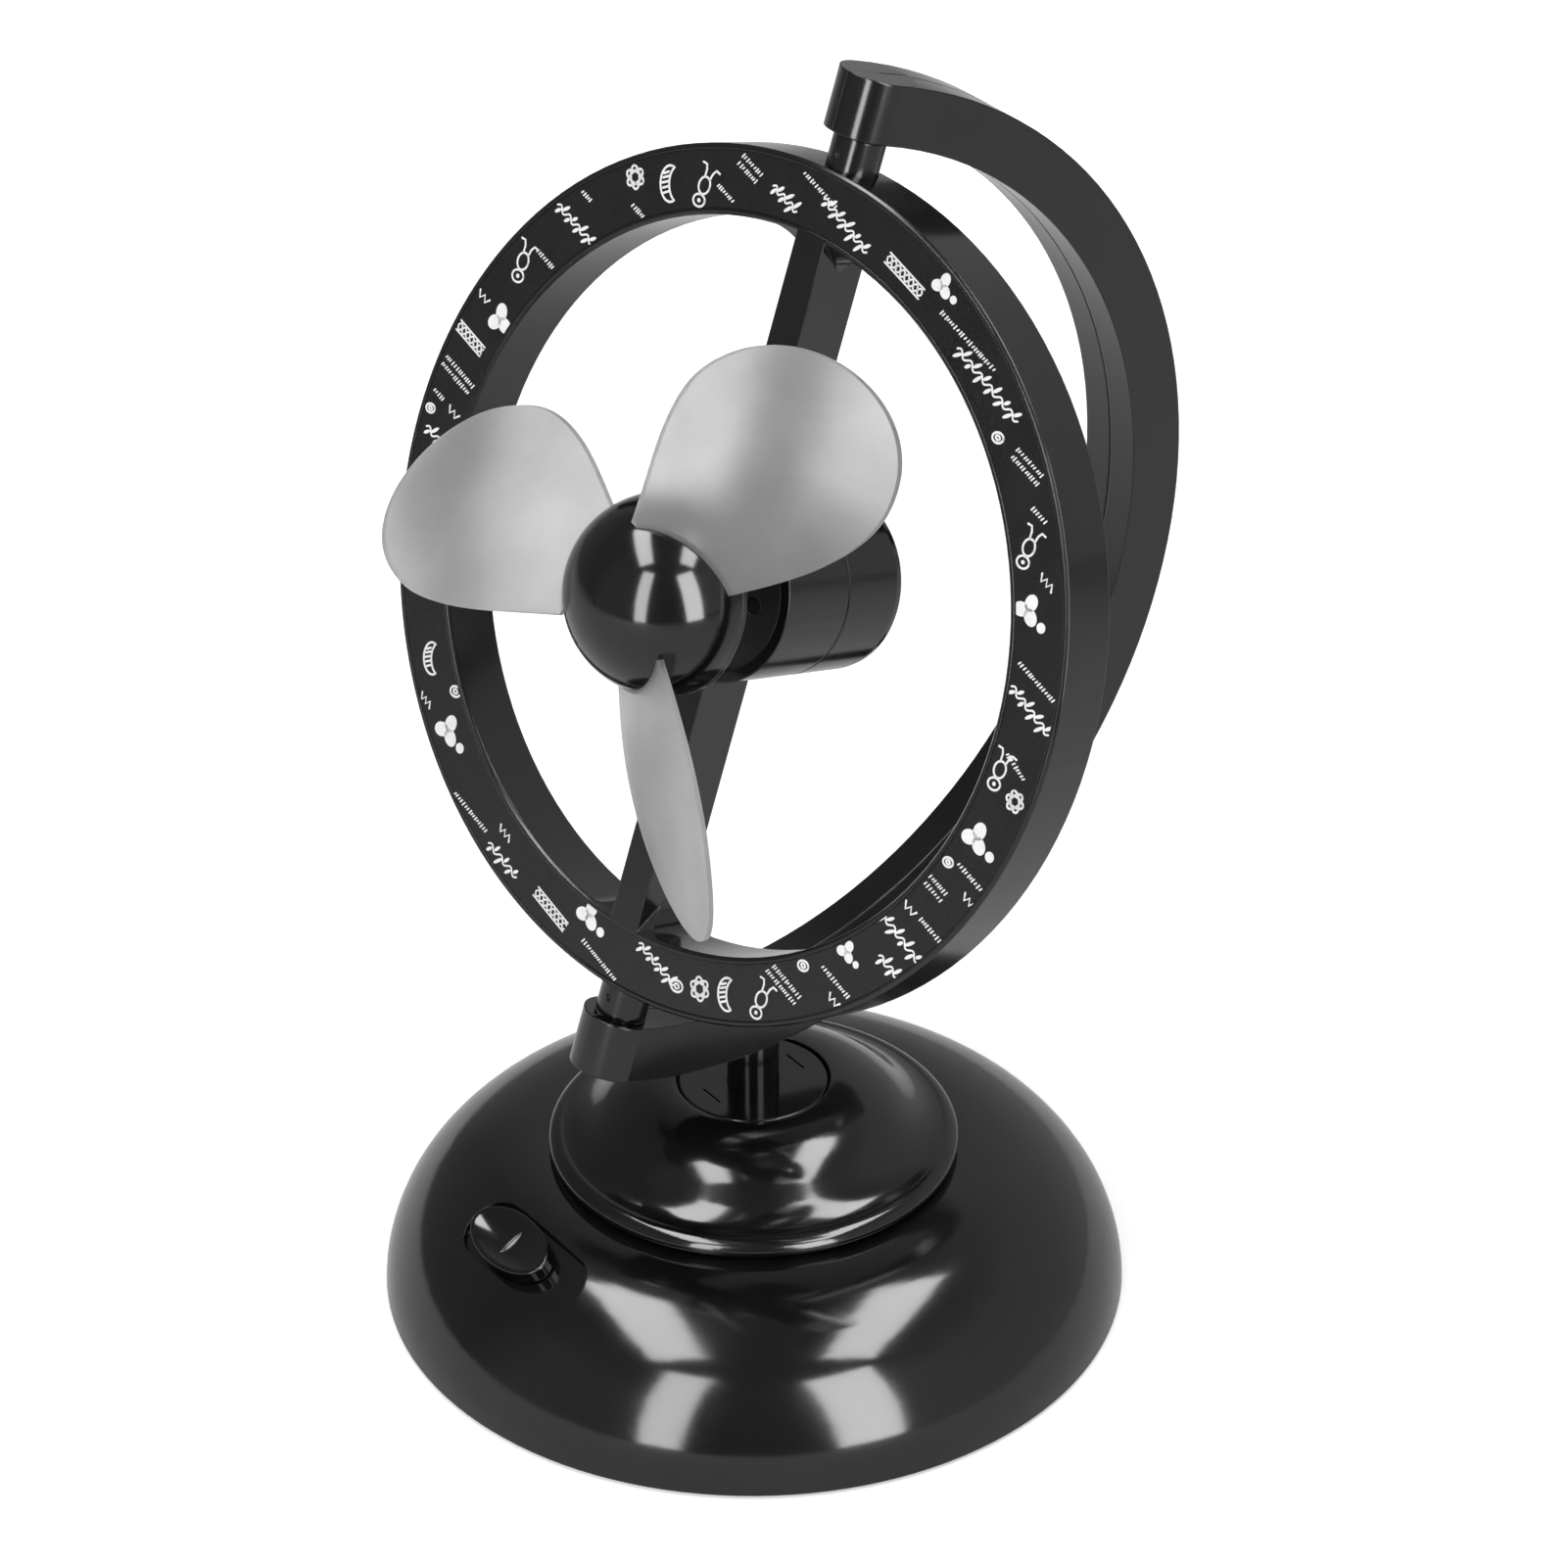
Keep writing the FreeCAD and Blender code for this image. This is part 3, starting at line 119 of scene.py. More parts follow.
def object_coordinates(tree, stretch=(1.0, 1.0, 1.0)):
    coordinates = tree.nodes.new("ShaderNodeTexCoord")
    mapping = tree.nodes.new("ShaderNodeMapping")
    mapping.inputs["Scale"].default_value = stretch
    tree.links.new(coordinates.outputs["Object"], mapping.inputs["Vector"])
    return mapping.outputs["Vector"]


def noise(tree, vector, size_mm, detail=3.0, roughness=0.55):
    """A noise whose blotches are about size_mm across."""
    texture = tree.nodes.new("ShaderNodeTexNoise")
    texture.inputs["Scale"].default_value = 1.0 / (size_mm * MM)
    texture.inputs["Detail"].default_value = detail
    texture.inputs["Roughness"].default_value = roughness
    tree.links.new(vector, texture.inputs["Vector"])
    return texture.outputs["Fac"]


def remap(tree, value, low, high, start=0.3, stop=0.7):
    node = tree.nodes.new("ShaderNodeMapRange")
    node.inputs["From Min"].default_value = start
    node.inputs["From Max"].default_value = stop
    node.inputs["To Min"].default_value = low
    node.inputs["To Max"].default_value = high
    tree.links.new(value, node.inputs["Value"])
    return node.outputs["Result"]


def arithmetic(tree, operation, first, second):
    node = tree.nodes.new("ShaderNodeMath")
    node.operation = operation
    for socket, value in zip(node.inputs, (first, second)):
        if isinstance(value, float):
            socket.default_value = value
        else:
            tree.links.new(value, socket)
    return node.outputs["Value"]


def blend_colours(tree, factor, first, second):
    node = tree.nodes.new("ShaderNodeMix")
    node.data_type = "RGBA"
    node.inputs["A"].default_value = (*first, 1.0)
    node.inputs["B"].default_value = (*second, 1.0)
    tree.links.new(factor, node.inputs["Factor"])
    return node.outputs["Result"]


def soft_edges(tree, radius_mm):
    """Shades sharp edges as if they were rounded, so that they catch the light."""
    node = tree.nodes.new("ShaderNodeBevel")
    node.samples = 6
    node.inputs["Radius"].default_value = radius_mm * MM
    return node.outputs["Normal"]


def bump(tree, height, depth_mm, below=None):
    node = tree.nodes.new("ShaderNodeBump")
    node.inputs["Distance"].default_value = depth_mm * MM
    tree.links.new(height, node.inputs["Height"])
    if below is not None:
        tree.links.new(below, node.inputs["Normal"])
    return node.outputs["Normal"]


# ---------------------------------------------------------------- finishes

def finish(name, dark, light, rough, blotch_mm, grain_mm, grain_depth_mm,
           wave_mm=0.0, wave_depth_mm=0.0, edge_mm=0.0):
    """A finish whose colour and gloss drift over blotch_mm, with a fine grain. If wave_mm is
    set it has the slow swell of a moulded surface, and if edge_mm is set its edges are soft."""
    material, tree, output = new_material(name)
    shader = tree.nodes.new("ShaderNodeBsdfPrincipled")
    vector = object_coordinates(tree)
    drift = noise(tree, vector, blotch_mm)
    speck = noise(tree, vector, grain_mm, detail=2.0)
    both = arithmetic(tree, "ADD", arithmetic(tree, "MULTIPLY", drift, 0.65),
                      arithmetic(tree, "MULTIPLY", speck, 0.35))
    tree.links.new(blend_colours(tree, remap(tree, both, 0.0, 1.0), dark, light),
                   shader.inputs["Base Color"])
    tree.links.new(remap(tree, both, rough[0], rough[1]), shader.inputs["Roughness"])
    normal = bump(tree, speck, grain_depth_mm, soft_edges(tree, edge_mm) if edge_mm else None)
    if wave_mm:
        normal = bump(tree, noise(tree, vector, wave_mm, detail=1.0), wave_depth_mm, normal)
    tree.links.new(normal, shader.inputs["Normal"])
    tree.links.new(shader.outputs["BSDF"], output.inputs["Surface"])
    return material


def brushed_metal(name, dark, light, rough, stretch, line_mm, depth_mm):
    """Turned or rolled metal: fine lines drawn out along one direction."""
    material, tree, output = new_material(name)
    shader = tree.nodes.new("ShaderNodeBsdfPrincipled")
    lines = noise(tree, object_coordinates(tree, stretch), line_mm, detail=4.0)
    stains = noise(tree, object_coordinates(tree), 6.0)
    tree.links.new(blend_colours(tree, remap(tree, stains, 0.0, 1.0), dark, light),
                   shader.inputs["Base Color"])
    tree.links.new(remap(tree, lines, rough[0], rough[1]), shader.inputs["Roughness"])
    tree.links.new(bump(tree, lines, depth_mm), shader.inputs["Normal"])
    shader.inputs["Metallic"].default_value = 1.0
    tree.links.new(shader.outputs["BSDF"], output.inputs["Surface"])
    return material


def frosted_plastic(name):
    """Milky see-through plastic, a little denser in slow drifts, with a fine satin grain."""
    material, tree, output = new_material(name)
    shader = tree.nodes.new("ShaderNodeBsdfPrincipled")
    vector = object_coordinates(tree)
    drift = noise(tree, vector, 14.0)
    speck = noise(tree, vector, 0.35, detail=2.0)
    tree.links.new(blend_colours(tree, remap(tree, drift, 0.0, 1.0), (0.52, 0.52, 0.53), (0.64, 0.64, 0.65)),
                   shader.inputs["Base Color"])
    tree.links.new(remap(tree, speck, 0.36, 0.48), shader.inputs["Roughness"])
    tree.links.new(bump(tree, speck, 0.012), shader.inputs["Normal"])
    shader.inputs["Transmission Weight"].default_value = 0.82
    shader.inputs["IOR"].default_value = 1.45
    tree.links.new(shader.outputs["BSDF"], output.inputs["Surface"])
    return material


FINISHES = {
    "gloss_black": finish("gloss_black", (0.0030, 0.0030, 0.0033), (0.0060, 0.0060, 0.0065), (0.09, 0.15),
                          18.0, 0.5, 0.0006, wave_mm=7.0, wave_depth_mm=0.004, edge_mm=0.35),
    "arm_plastic": finish("arm_plastic", (0.0035, 0.0035, 0.0038), (0.0065, 0.0065, 0.0070), (0.12, 0.19),
                          15.0, 0.45, 0.0008, wave_mm=9.0, wave_depth_mm=0.005, edge_mm=0.45),
    "satin_black": finish("satin_black", (0.0080, 0.0080, 0.0085), (0.0140, 0.0140, 0.0145), (0.36, 0.46),
                          12.0, 0.5, 0.005, edge_mm=0.25),
    "face_print": finish("face_print", (0.0030, 0.0030, 0.0032), (0.0055, 0.0055, 0.0058), (0.24, 0.32),
                         10.0, 0.3, 0.002),
    "feet_rubber": finish("feet_rubber", (0.016, 0.016, 0.016), (0.030, 0.030, 0.029), (0.70, 0.85),
                          4.0, 0.4, 0.010),
    "inner_plastic": finish("inner_plastic", (0.020, 0.020, 0.021), (0.032, 0.032, 0.033), (0.42, 0.55),
                            8.0, 0.5, 0.006),
    "cell_jacket": finish("cell_jacket", (0.10, 0.16, 0.22), (0.14, 0.20, 0.27), (0.28, 0.36),
                          6.0, 0.3, 0.002),
    "wire_jacket": finish("wire_jacket", (0.14, 0.012, 0.010), (0.20, 0.020, 0.016), (0.40, 0.50),
                          3.0, 0.25, 0.003),
    "screw_steel": brushed_metal("screw_steel", (0.36, 0.36, 0.37), (0.50, 0.50, 0.51), (0.24, 0.36),
                                 (1.0, 1.0, 12.0), 2.0, 0.002),
    "black_steel": brushed_metal("black_steel", (0.050, 0.050, 0.052), (0.085, 0.085, 0.088), (0.30, 0.42),
                                 (1.0, 1.0, 12.0), 2.0, 0.002),
    "motor_steel": brushed_metal("motor_steel", (0.42, 0.42, 0.43), (0.55, 0.55, 0.56), (0.22, 0.34),
                                 (6.0, 6.0, 1.0), 2.0, 0.002),
    "contact_metal": brushed_metal("contact_metal", (0.55, 0.53, 0.48), (0.68, 0.66, 0.61), (0.20, 0.30),
                                   (8.0, 1.0, 8.0), 1.5, 0.001),
    "bush_brass": brushed_metal("bush_brass", (0.080, 0.058, 0.034), (0.13, 0.095, 0.052), (0.42, 0.55),
                                (1.0, 1.0, 10.0), 1.5, 0.002),
    "ballast_iron": brushed_metal("ballast_iron", (0.12, 0.12, 0.125), (0.19, 0.185, 0.18), (0.45, 0.62),
                                  (1.0, 1.0, 1.0), 1.2, 0.015),
    "frosted_blade": frosted_plastic("frosted_blade"),
}


# Pieces that are glossier or darker than the rest of their slot.
OWN_FINISHES = {"switch_tray": "gloss_black", "hub_core": "gloss_black", "motor_screws": "black_steel"}


def paint_nodes():
    """Each CAD node takes the finish of its slot, or its own."""
    for name, thing in nodes.items():
        for place in thing.material_slots:
            place.material = FINISHES[OWN_FINISHES.get(name, place.material.name.split(".")[0])]


# ---------------------------------------------------------------- printed face of the guard ring

PRINT_HEIGHT = 0.03 * MM
PRINT_MARGIN = 0.25 * MM
SHEET_TURN = -20.0

# Width of the strokes of each motif that has any.
STROKE_MM = {"crescent": 0.42, "sprout": 0.40, "knot": 0.42, "ticks": 0.30, "double_ticks": 0.28,
             "vine": 0.36, "braid": 0.34, "zigzag": 0.40, "loop": 0.42}
ARC_STEPS = 6


class FacePlane:
    """The flat face of the guard ring: a point on it is given by its distance along
    two axes from the middle of the ring, in millimetres."""

    def __init__(self, band):
        self.up = Vector(joints["ring_turn"]["axis"]).normalized()
        self.out = Vector(joints["rotor_spin"]["axis"]).normalized()
        self.side = self.up.cross(self.out).normalized()
        corners = [vertex.co for vertex in band.data.vertices]
        self.middle = sum(corners, Vector()) / len(corners)
        levels = [(corner - self.middle).dot(self.out) for corner in corners]
        self.middle += self.out * max(levels)
        spans = [self.flat(corner).length for corner in corners]
        self.inner = min(spans) + PRINT_MARGIN
        self.outer = max(spans) - PRINT_MARGIN

    def flat(self, corner):
        offset = corner - self.middle
        return Vector((offset.dot(self.side), offset.dot(self.up)))

    def point(self, flat, height):
        return self.middle + self.side * flat[0] + self.up * flat[1] + self.out * height

    def keep(self, flat):
        """Pulls a point back to the edge of the printed band."""
        return flat * (min(max(flat.length, self.inner), self.outer) / flat.length)

    def holds(self, flat):
        return self.inner <= flat.length <= self.outer


def arc(middle, radii, start, stop, steps):
    turns = [math.radians(start + (stop - start) * index / steps) for index in range(steps + 1)]
    return [(middle[0] + radii[0] * math.cos(turn), middle[1] + radii[1] * math.sin(turn)) for turn in turns]


def oval(middle, radii, lean, steps):
    """A closed oval whose long axis leans by an angle in degrees."""
    spun = Matrix.Rotation(math.radians(lean), 2)
    return [tuple(spun @ Vector(point) + Vector(middle)) for point in arc((0, 0), radii, 0, 360, steps)[:-1]]


def closed(outline):
    return outline + outline[:1]


# Each motif returns strokes (lines) and patches (filled outlines), in millimetres
# about its own middle.

def bloom(size):
    """Three round petals and a loose seed."""
    patches = []
    for turn in (95, 215, 335):
        way = Vector((math.cos(math.radians(turn)), math.sin(math.radians(turn)))) * size * 0.27
        patches.append(oval(way, (size * 0.31, size * 0.25), turn, 20))
    patches.append(oval((size * 0.78, -size * 0.08), (size * 0.18, size * 0.18), 0, 16))
    return [], patches


def crescent(size):
    """An outlined crescent with short bars across it."""
    outer = arc((0, 0), (size * 0.36, size * 0.5), 75, 285, 16)
    inner = arc((size * 0.26, 0), (size * 0.30, size * 0.48), 250, 110, 12)
    strokes = [closed(outer + inner)]
    for level in (-0.26, -0.12, 0.02, 0.16, 0.28):
        reach = 0.30 - abs(level) * 0.25
        strokes.append([(-size * reach, size * level), (-size * 0.06, size * (level + 0.05))])
    return strokes, []


def sprout(size):
    """A round bulb under a seed pod, with two curled stalks above them."""
    strokes = [closed(oval((0, 0.02 * size), (size * 0.16, size * 0.20), 0, 16)),
               closed(oval((size * 0.02, -0.34 * size), (size * 0.17, size * 0.14), 20, 16))]
    for side in (-1, 1):
        strokes.append([(side * size * 0.08, size * 0.20), (side * size * 0.10, size * 0.36),
                        (side * size * 0.16, size * 0.47), (side * size * 0.27, size * 0.46)])
    seeds = [oval((size * 0.02, -0.34 * size), (size * 0.05, size * 0.05), 0, 10)]
    return strokes, seeds


def vine(size):
    """A waving stem with a slim leaf of uneven length in each hollow."""
    count = max(2, round(size / 2.7))
    pitch = size / count
    steps = count * 10
    stem = [(-size / 2 + size * index / steps, 0.5 * math.sin(2 * math.pi * count * index / steps))
            for index in range(steps + 1)]
    leaves = []
    for index in range(count * 2):
        side = 1 if index % 2 else -1
        length = DRAW.uniform(0.70, 1.25)
        lean = 62 + DRAW.uniform(-8, 8)
        middle = (-size / 2 + pitch * (index + 0.5) / 2, side * (0.35 + length * 0.45))
        leaves.append(oval(middle, (length, 0.34), lean, 12))
    return [stem], leaves


def braid(size):
    """Two waves that cross each other, between two rules."""
    steps = round(size * 5)
    strokes = []
    for side in (-1, 1):
        strokes.append([(-size / 2 + size * index / steps, side * 0.70 * math.sin(2.6 * size * index / steps))
                        for index in range(steps + 1)])
        strokes.append([(-size / 2, side * 1.05), (size / 2, side * 1.05)])
    return strokes, []


def zigzag(size):
    count = max(3, round(size / 0.7))
    return [[(-size / 2 + size * index / count, 0.6 * (-1) ** index) for index in range(count + 1)]], []


def loop(size):
    """An oval round a smaller one that stays open."""
    outer = closed(oval((0, 0), (size * 0.5, size * 0.38), 30, 16))
    inner = arc((0, 0), (size * 0.2, size * 0.15), 0, 300, 10)
    return [outer, inner], []


def knot(size):
    """Three crossed ovals."""
    return [closed(oval((0, 0), (size * 0.5, size * 0.24), lean, 22)) for lean in (15, 75, 135)], []


def ticks(size, rows=1):
    """Rows of fine upright ticks of uneven height."""
    strokes = []
    for row in range(rows):
        level = (row - (rows - 1) / 2) * 1.7
        place = -size / 2
        while place < size / 2:
            half = DRAW.uniform(0.18, 0.42)
            strokes.append([(place - 0.1, level - half), (place + 0.1, level + half)])
            place += DRAW.uniform(0.50, 0.80)
    return strokes, []


def double_ticks(size):
    return ticks(size, rows=2)


# Motif, angle round the ring in degrees from its side axis, distance from the middle,
# size, and turn against the sheet's own direction. Most angles and distances were worked
# out by another program from marks picked on the photo, against the rules of this work:
# see "Known faults" in the report.
PRINT_PLACES = [
    (knot, 124.3, 74.4, 4.2, 0), (crescent, 118.1, 71.7, 6.4, 38), (sprout, 111.8, 70.6, 8.0, 10),
    (ticks, 107.6, 69.3, 4.6, 0), (ticks, 125.0, 68.4, 3.4, 0), (vine, 137.3, 71.6, 11.0, 0),
    (ticks, 133.6, 74.9, 2.6, 0), (sprout, 148.9, 73.0, 8.2, 10), (ticks, 145.0, 69.8, 5.2, 0),
    (zigzag, 157.9, 75.0, 3.0, 0), (bloom, 158.1, 69.3, 5.4, 20), (braid, 164.1, 73.0, 7.6, 0),
    (double_ticks, 170.0, 72.3, 9.4, 0), (ticks, 174.4, 74.4, 3.2, 0), (zigzag, 175.5, 70.0, 3.0, 0),
    (loop, 176.8, 75.6, 2.2, 0), (vine, 180.6, 71.4, 8.4, 0), (vine, 186.0, 71.8, 6.2, 0),
    (ticks, 192.0, 73.4, 5.6, 0), (vine, 198.4, 73.0, 9.6, 0), (loop, 204.4, 68.0, 1.6, 0),
    (crescent, 213.3, 71.9, 6.0, 38), (loop, 219.2, 67.9, 2.6, 0), (zigzag, 218.8, 75.8, 3.2, 0),
    (bloom, 224.1, 72.6, 5.6, 0), (ticks, 236.1, 75.3, 11.0, 0), (zigzag, 242.5, 70.6, 3.4, 0),
    (vine, 245.0, 74.6, 9.0, 0), (braid, 256.1, 73.2, 9.4, 0), (bloom, 262.7, 68.6, 5.2, 0),
    (ticks, 269.0, 75.6, 15.0, 0), (vine, 277.6, 70.0, 10.6, 0), (loop, 281.9, 72.6, 2.8, 0),
    (knot, 286.2, 72.0, 4.4, 0), (crescent, 291.4, 72.2, 6.0, 38), (sprout, 297.6, 73.0, 7.8, 10),
    (double_ticks, 302.2, 70.6, 8.4, 0), (loop, 306.6, 68.1, 2.4, 0), (ticks, 311.8, 72.8, 8.0, 0),
    (zigzag, 310.4, 75.5, 2.8, 0), (bloom, 315.4, 68.4, 3.8, 0), (vine, 325.4, 71.4, 11.6, -4),
    (vine, 321.4, 74.4, 5.4, 0), (zigzag, 329.4, 68.6, 3.0, 0), (ticks, 330.5, 74.0, 5.4, 0),
    (double_ticks, 335.2, 69.4, 5.4, 0), (loop, 339.7, 68.2, 2.2, 0), (ticks, 340.8, 73.3, 6.4, 0),
    (zigzag, 338.2, 75.6, 2.6, 0), (bloom, 345.8, 70.2, 5.4, 0), (knot, 353.9, 74.0, 3.8, 0),
    (sprout, 356.5, 68.9, 7.8, 10), (ticks, 358.1, 72.0, 5.8, -10), (vine, 6.4, 71.7, 11.0, -5),
    (ticks, 10.4, 72.2, 9.6, 0), (bloom, 20.1, 69.2, 5.2, 0), (zigzag, 23.8, 73.4, 3.4, 0),
    (sprout, 28.6, 70.2, 7.8, 10), (ticks, 32.5, 73.6, 4.0, 0), (double_ticks, 39.1, 73.4, 7.2, 0),
    (loop, 44.6, 69.2, 2.4, 0), (vine, 51.8, 71.4, 17.5, -3), (ticks, 58.3, 72.2, 15.0, 0),
    (bloom, 66.6, 74.4, 4.2, 0), (braid, 72.4, 70.2, 9.6, 0), (vine, 85.0, 70.6, 13.0, -4),
    (ticks, 90.7, 74.0, 9.4, 0), (vine, 96.6, 70.4, 6.8, 0), (double_ticks, 103.4, 74.0, 5.4, 0),
]


def runs_inside(plane, line):
    """The stretches of a line that lie on the band."""
    runs = [[]]
    for point in line:
        if plane.holds(point):
            runs[-1].append(point)
        elif runs[-1]:
            runs.append([])
    return [run for run in runs if len(run) > 1]


def ribbon_outline(line, width):
    """The left and the right side of a flat stroke of one width."""
    half = width / 2
    left, right = [], []
    for index, point in enumerate(line):
        before = line[max(index - 1, 0)]
        after = line[min(index + 1, len(line) - 1)]
        way = (after - before).normalized()
        across = Vector((-way[1], way[0])) * half
        left.append(point + across)
        right.append(point - across)
    return left, right


def add_prism(mesh, plane, outline, height):
    """A flat closed shape with its top at one height and its foot on the face."""
    top = [mesh.verts.new(plane.point(point, height)) for point in outline]
    foot = [mesh.verts.new(plane.point(point, 0.0)) for point in outline]
    mesh.faces.new(top)
    mesh.faces.new(list(reversed(foot)))
    count = len(outline)
    for index in range(count):
        after = (index + 1) % count
        mesh.faces.new((top[after], top[index], foot[index], foot[after]))


def add_stroke(mesh, plane, line, width, height):
    """A stroke as a chain of four-sided prisms with a round cap at each end."""
    left, right = ribbon_outline(line, width)
    for index in range(len(line) - 1):
        corners = [right[index], right[index + 1], left[index + 1], left[index]]
        add_prism(mesh, plane, [plane.keep(corner) for corner in corners], height)
    for end, inward in ((line[0], line[1]), (line[-1], line[-2])):
        way = math.degrees(math.atan2(end[1] - inward[1], end[0] - inward[0]))
        cap = arc(end, (width / 2, width / 2), way - 90, way + 90, ARC_STEPS)
        add_prism(mesh, plane, [plane.keep(Vector(point)) for point in cap], height)


def print_motif(mesh, plane, motif, angle, reach_mm, size_mm, turn):
    spin = Matrix.Rotation(math.radians(SHEET_TURN + turn), 2)
    middle = Vector((math.cos(math.radians(angle)), math.sin(math.radians(angle)))) * reach_mm * MM
    strokes, patches = motif(size_mm)
    for stroke in strokes:
        line = [middle + spin @ Vector(point) * MM for point in stroke]
        for run in runs_inside(plane, line):
            add_stroke(mesh, plane, run, STROKE_MM[motif.__name__] * MM, PRINT_HEIGHT)
    for patch in patches:
        outline = [plane.keep(middle + spin @ Vector(point) * MM) for point in patch]
        add_prism(mesh, plane, outline, PRINT_HEIGHT * 1.2)


def print_face():
    """Prints each kind of motif as one thin piece on the ring's face."""
    plane = FacePlane(nodes["face_band"])
    ink = finish("print_ink", (0.78, 0.78, 0.78), (0.90, 0.90, 0.90), (0.42, 0.52), 5.0, 0.3, 0.002)
    kinds = {}
    for place in PRINT_PLACES:
        kinds.setdefault(place[0].__name__, []).append(place)
    for kind, places in kinds.items():
        mesh = bmesh.new()
        for motif, angle, reach_mm, size_mm, turn in places:
            print_motif(mesh, plane, motif, angle, reach_mm, size_mm, turn)
        data = bpy.data.meshes.new("print_" + kind)
        mesh.to_mesh(data)
        mesh.free()
        data.materials.append(ink)
        piece = bpy.data.objects.new("print_" + kind, data)
        scene.collection.objects.link(piece)
        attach(piece, "guard")


# ---------------------------------------------------------------- studio

STUDIO_HEADING = math.radians(-35.47)
STUDIO = Matrix.Rotation(STUDIO_HEADING, 4, "Z")
WALL_TURN = -STUDIO_HEADING + math.radians(90.0)
FLOOR_SIZE = 8.0
FLOOR_DROP = 0.05 * MM
FLOOR_COLOURS = ((0.84, 0.84, 0.84), (0.87, 0.87, 0.87))

# The floor's own glow for the eye: strength near and far, and the distances it rises between.
FLOOR_GLOW = (0.45, 1.0)
FLOOR_GLOW_REACH = (0.25, 0.90)

AIM = STAND + Vector((0.0, 0.0, 0.12))


def add_panel(name, place, long_way, width, length, radiance, in_gloss):
    """A soft panel that faces the object, with its long side along long_way. radiance is
    what it looks like in a mirror. A panel shows either as a highlight or lights the
    surfaces, so that the highlights can be as bright as real softboxes at a plain level."""
    data = bpy.data.lights.new(name, "AREA")
    data.shape = "RECTANGLE"
    data.size = width
    data.size_y = length
    data.energy = radiance * 4.0 * width * length
    lamp = bpy.data.objects.new(name, data)
    scene.collection.objects.link(lamp)
    spot = STAND + STUDIO @ Vector(place)
    away = (spot - AIM).normalized()
    across = (STUDIO @ Vector(long_way)).cross(away).normalized()
    frame_axes = Matrix((across, away.cross(across), away)).transposed()
    lamp.matrix_world = Matrix.Translation(spot) @ frame_axes.to_4x4()
    lamp.visible_camera = False
    lamp.visible_transmission = False
    lamp.visible_glossy = in_gloss
    lamp.visible_diffuse = not in_gloss


def add_lamps():
    add_panel("front_left", (-0.60, -1.20, 0.72), (0, 0, 1), 0.34, 1.50, 9.0, True)
    add_panel("front_right", (0.76, -1.20, 0.72), (0, 0, 1), 0.54, 1.50, 10.0, True)
    add_panel("top_left", (-0.44, -0.06, 1.30), (0, 1, 0), 0.33, 1.04, 10.0, True)
    add_panel("top_right", (0.55, -0.06, 1.30), (0, 1, 0), 0.34, 1.04, 10.0, True)
    add_panel("fill_top", (0.0, -0.2, 1.60), (0, 1, 0), 1.80, 1.80, 1.38, False)
    add_panel("fill_front", (-0.8, -1.2, 0.8), (0, 0, 1), 1.20, 1.20, 2.02, False)


# Brightness of the studio walls round the object, from straight behind it clockwise:
# (share of the turn, brightness). The front gap between the panels and the left rear are dim.
# These are rounded estimates from the reflections in the photo.
WALLS = [(0.00, 0.55), (0.08, 0.25), (0.24, 0.25), (0.29, 0.45), (0.43, 0.42), (0.46, 0.24),
         (0.54, 0.26), (0.58, 0.90), (0.75, 0.72), (0.92, 0.60), (1.00, 0.55)]
CEILING = 0.25

# The heights, as the sine of the angle above level, between which walls turn into ceiling.
CEILING_EDGE = (0.62, 0.90)


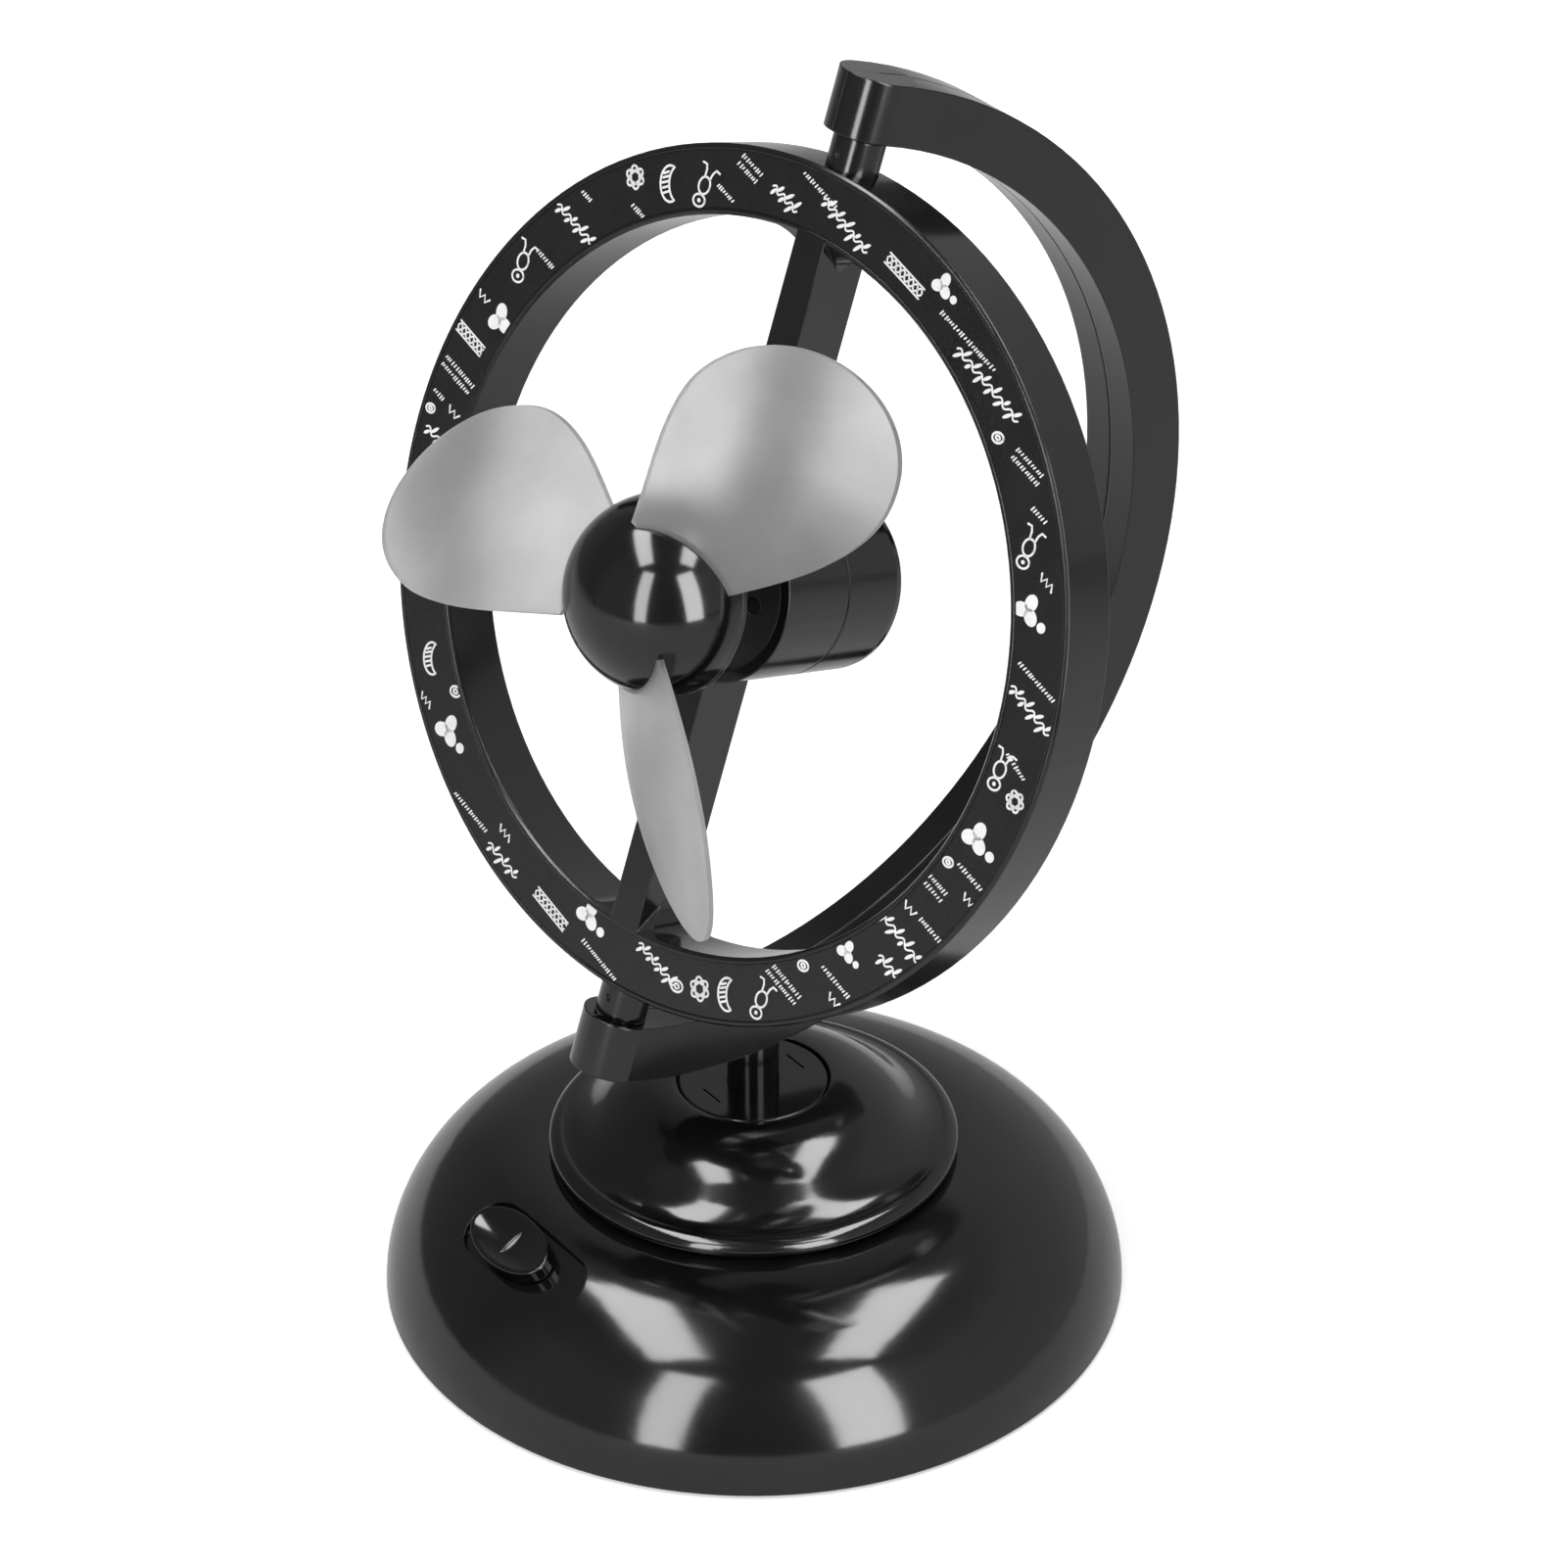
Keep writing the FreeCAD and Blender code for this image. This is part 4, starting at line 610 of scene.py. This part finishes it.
def add_world():
    """White to the eye and behind see-through parts. In reflections it is a studio with
    pale walls, a dim gap in front and a dim ceiling."""
    world = bpy.data.worlds.new("studio")
    scene.world = world
    world.use_nodes = True
    tree = world.node_tree
    tree.nodes.clear()
    output = tree.nodes.new("ShaderNodeOutputWorld")
    background = tree.nodes.new("ShaderNodeBackground")
    coordinates = tree.nodes.new("ShaderNodeTexCoord")
    turned = tree.nodes.new("ShaderNodeMapping")
    turned.inputs["Rotation"].default_value = (0.0, 0.0, WALL_TURN)
    tree.links.new(coordinates.outputs["Generated"], turned.inputs["Vector"])
    round_walls = tree.nodes.new("ShaderNodeTexGradient")
    round_walls.gradient_type = "RADIAL"
    tree.links.new(turned.outputs["Vector"], round_walls.inputs["Vector"])
    ramp = tree.nodes.new("ShaderNodeValToRGB")
    stops = ramp.color_ramp.elements
    for share, bright in WALLS[1:-1]:
        stops.new(share).color = (bright, bright, bright, 1.0)
    stops[0].color = (WALLS[0][1],) * 3 + (1.0,)
    stops[-1].color = (WALLS[-1][1],) * 3 + (1.0,)
    tree.links.new(round_walls.outputs["Fac"], ramp.inputs["Fac"])
    parts = tree.nodes.new("ShaderNodeSeparateXYZ")
    tree.links.new(coordinates.outputs["Generated"], parts.inputs["Vector"])
    high = remap(tree, parts.outputs["Z"], 0.0, 1.0, *CEILING_EDGE)
    walls = arithmetic(tree, "MULTIPLY", ramp.outputs["Color"], arithmetic(tree, "SUBTRACT", 1.0, high))
    room = arithmetic(tree, "ADD", walls, arithmetic(tree, "MULTIPLY", high, CEILING))
    path = tree.nodes.new("ShaderNodeLightPath")
    seen = arithmetic(tree, "MAXIMUM", path.outputs["Is Camera Ray"], path.outputs["Is Transmission Ray"])
    strength = arithmetic(tree, "MAXIMUM", room, seen)
    tree.links.new(strength, background.inputs["Strength"])
    tree.links.new(background.outputs["Background"], output.inputs["Surface"])


def add_floor():
    """A plain white floor that keeps the object's shadow and turns pure white farther out."""
    material, tree, output = new_material("floor_white")
    shader = tree.nodes.new("ShaderNodeBsdfPrincipled")
    vector = object_coordinates(tree)
    drift = noise(tree, vector, 400.0)
    tree.links.new(blend_colours(tree, remap(tree, drift, 0.0, 1.0), *FLOOR_COLOURS),
                   shader.inputs["Base Color"])
    shader.inputs["Roughness"].default_value = 0.9
    shader.inputs["Specular IOR Level"].default_value = 0.1
    glow = tree.nodes.new("ShaderNodeEmission")
    path = tree.nodes.new("ShaderNodeLightPath")
    seen = arithmetic(tree, "MAXIMUM", path.outputs["Is Camera Ray"], path.outputs["Is Transmission Ray"])
    away = tree.nodes.new("ShaderNodeVectorMath")
    away.operation = "LENGTH"
    tree.links.new(vector, away.inputs[0])
    level = remap(tree, away.outputs["Value"], *FLOOR_GLOW, *FLOOR_GLOW_REACH)
    tree.links.new(arithmetic(tree, "MULTIPLY", seen, level), glow.inputs["Strength"])
    total = tree.nodes.new("ShaderNodeAddShader")
    tree.links.new(shader.outputs["BSDF"], total.inputs[0])
    tree.links.new(glow.outputs["Emission"], total.inputs[1])
    tree.links.new(total.outputs["Shader"], output.inputs["Surface"])
    mesh = bmesh.new()
    bmesh.ops.create_grid(mesh, x_segments=8, y_segments=8, size=FLOOR_SIZE / 2)
    data = bpy.data.meshes.new("floor")
    mesh.to_mesh(data)
    mesh.free()
    data.materials.append(material)
    floor = bpy.data.objects.new("floor", data)
    floor.location = (0.0, 0.0, CAD_BOX[0][2] - FLOOR_DROP)
    scene.collection.objects.link(floor)


add_camera()
paint_nodes()
print_face()
add_world()
add_floor()
add_lamps()
scene.view_settings.view_transform = "Standard"
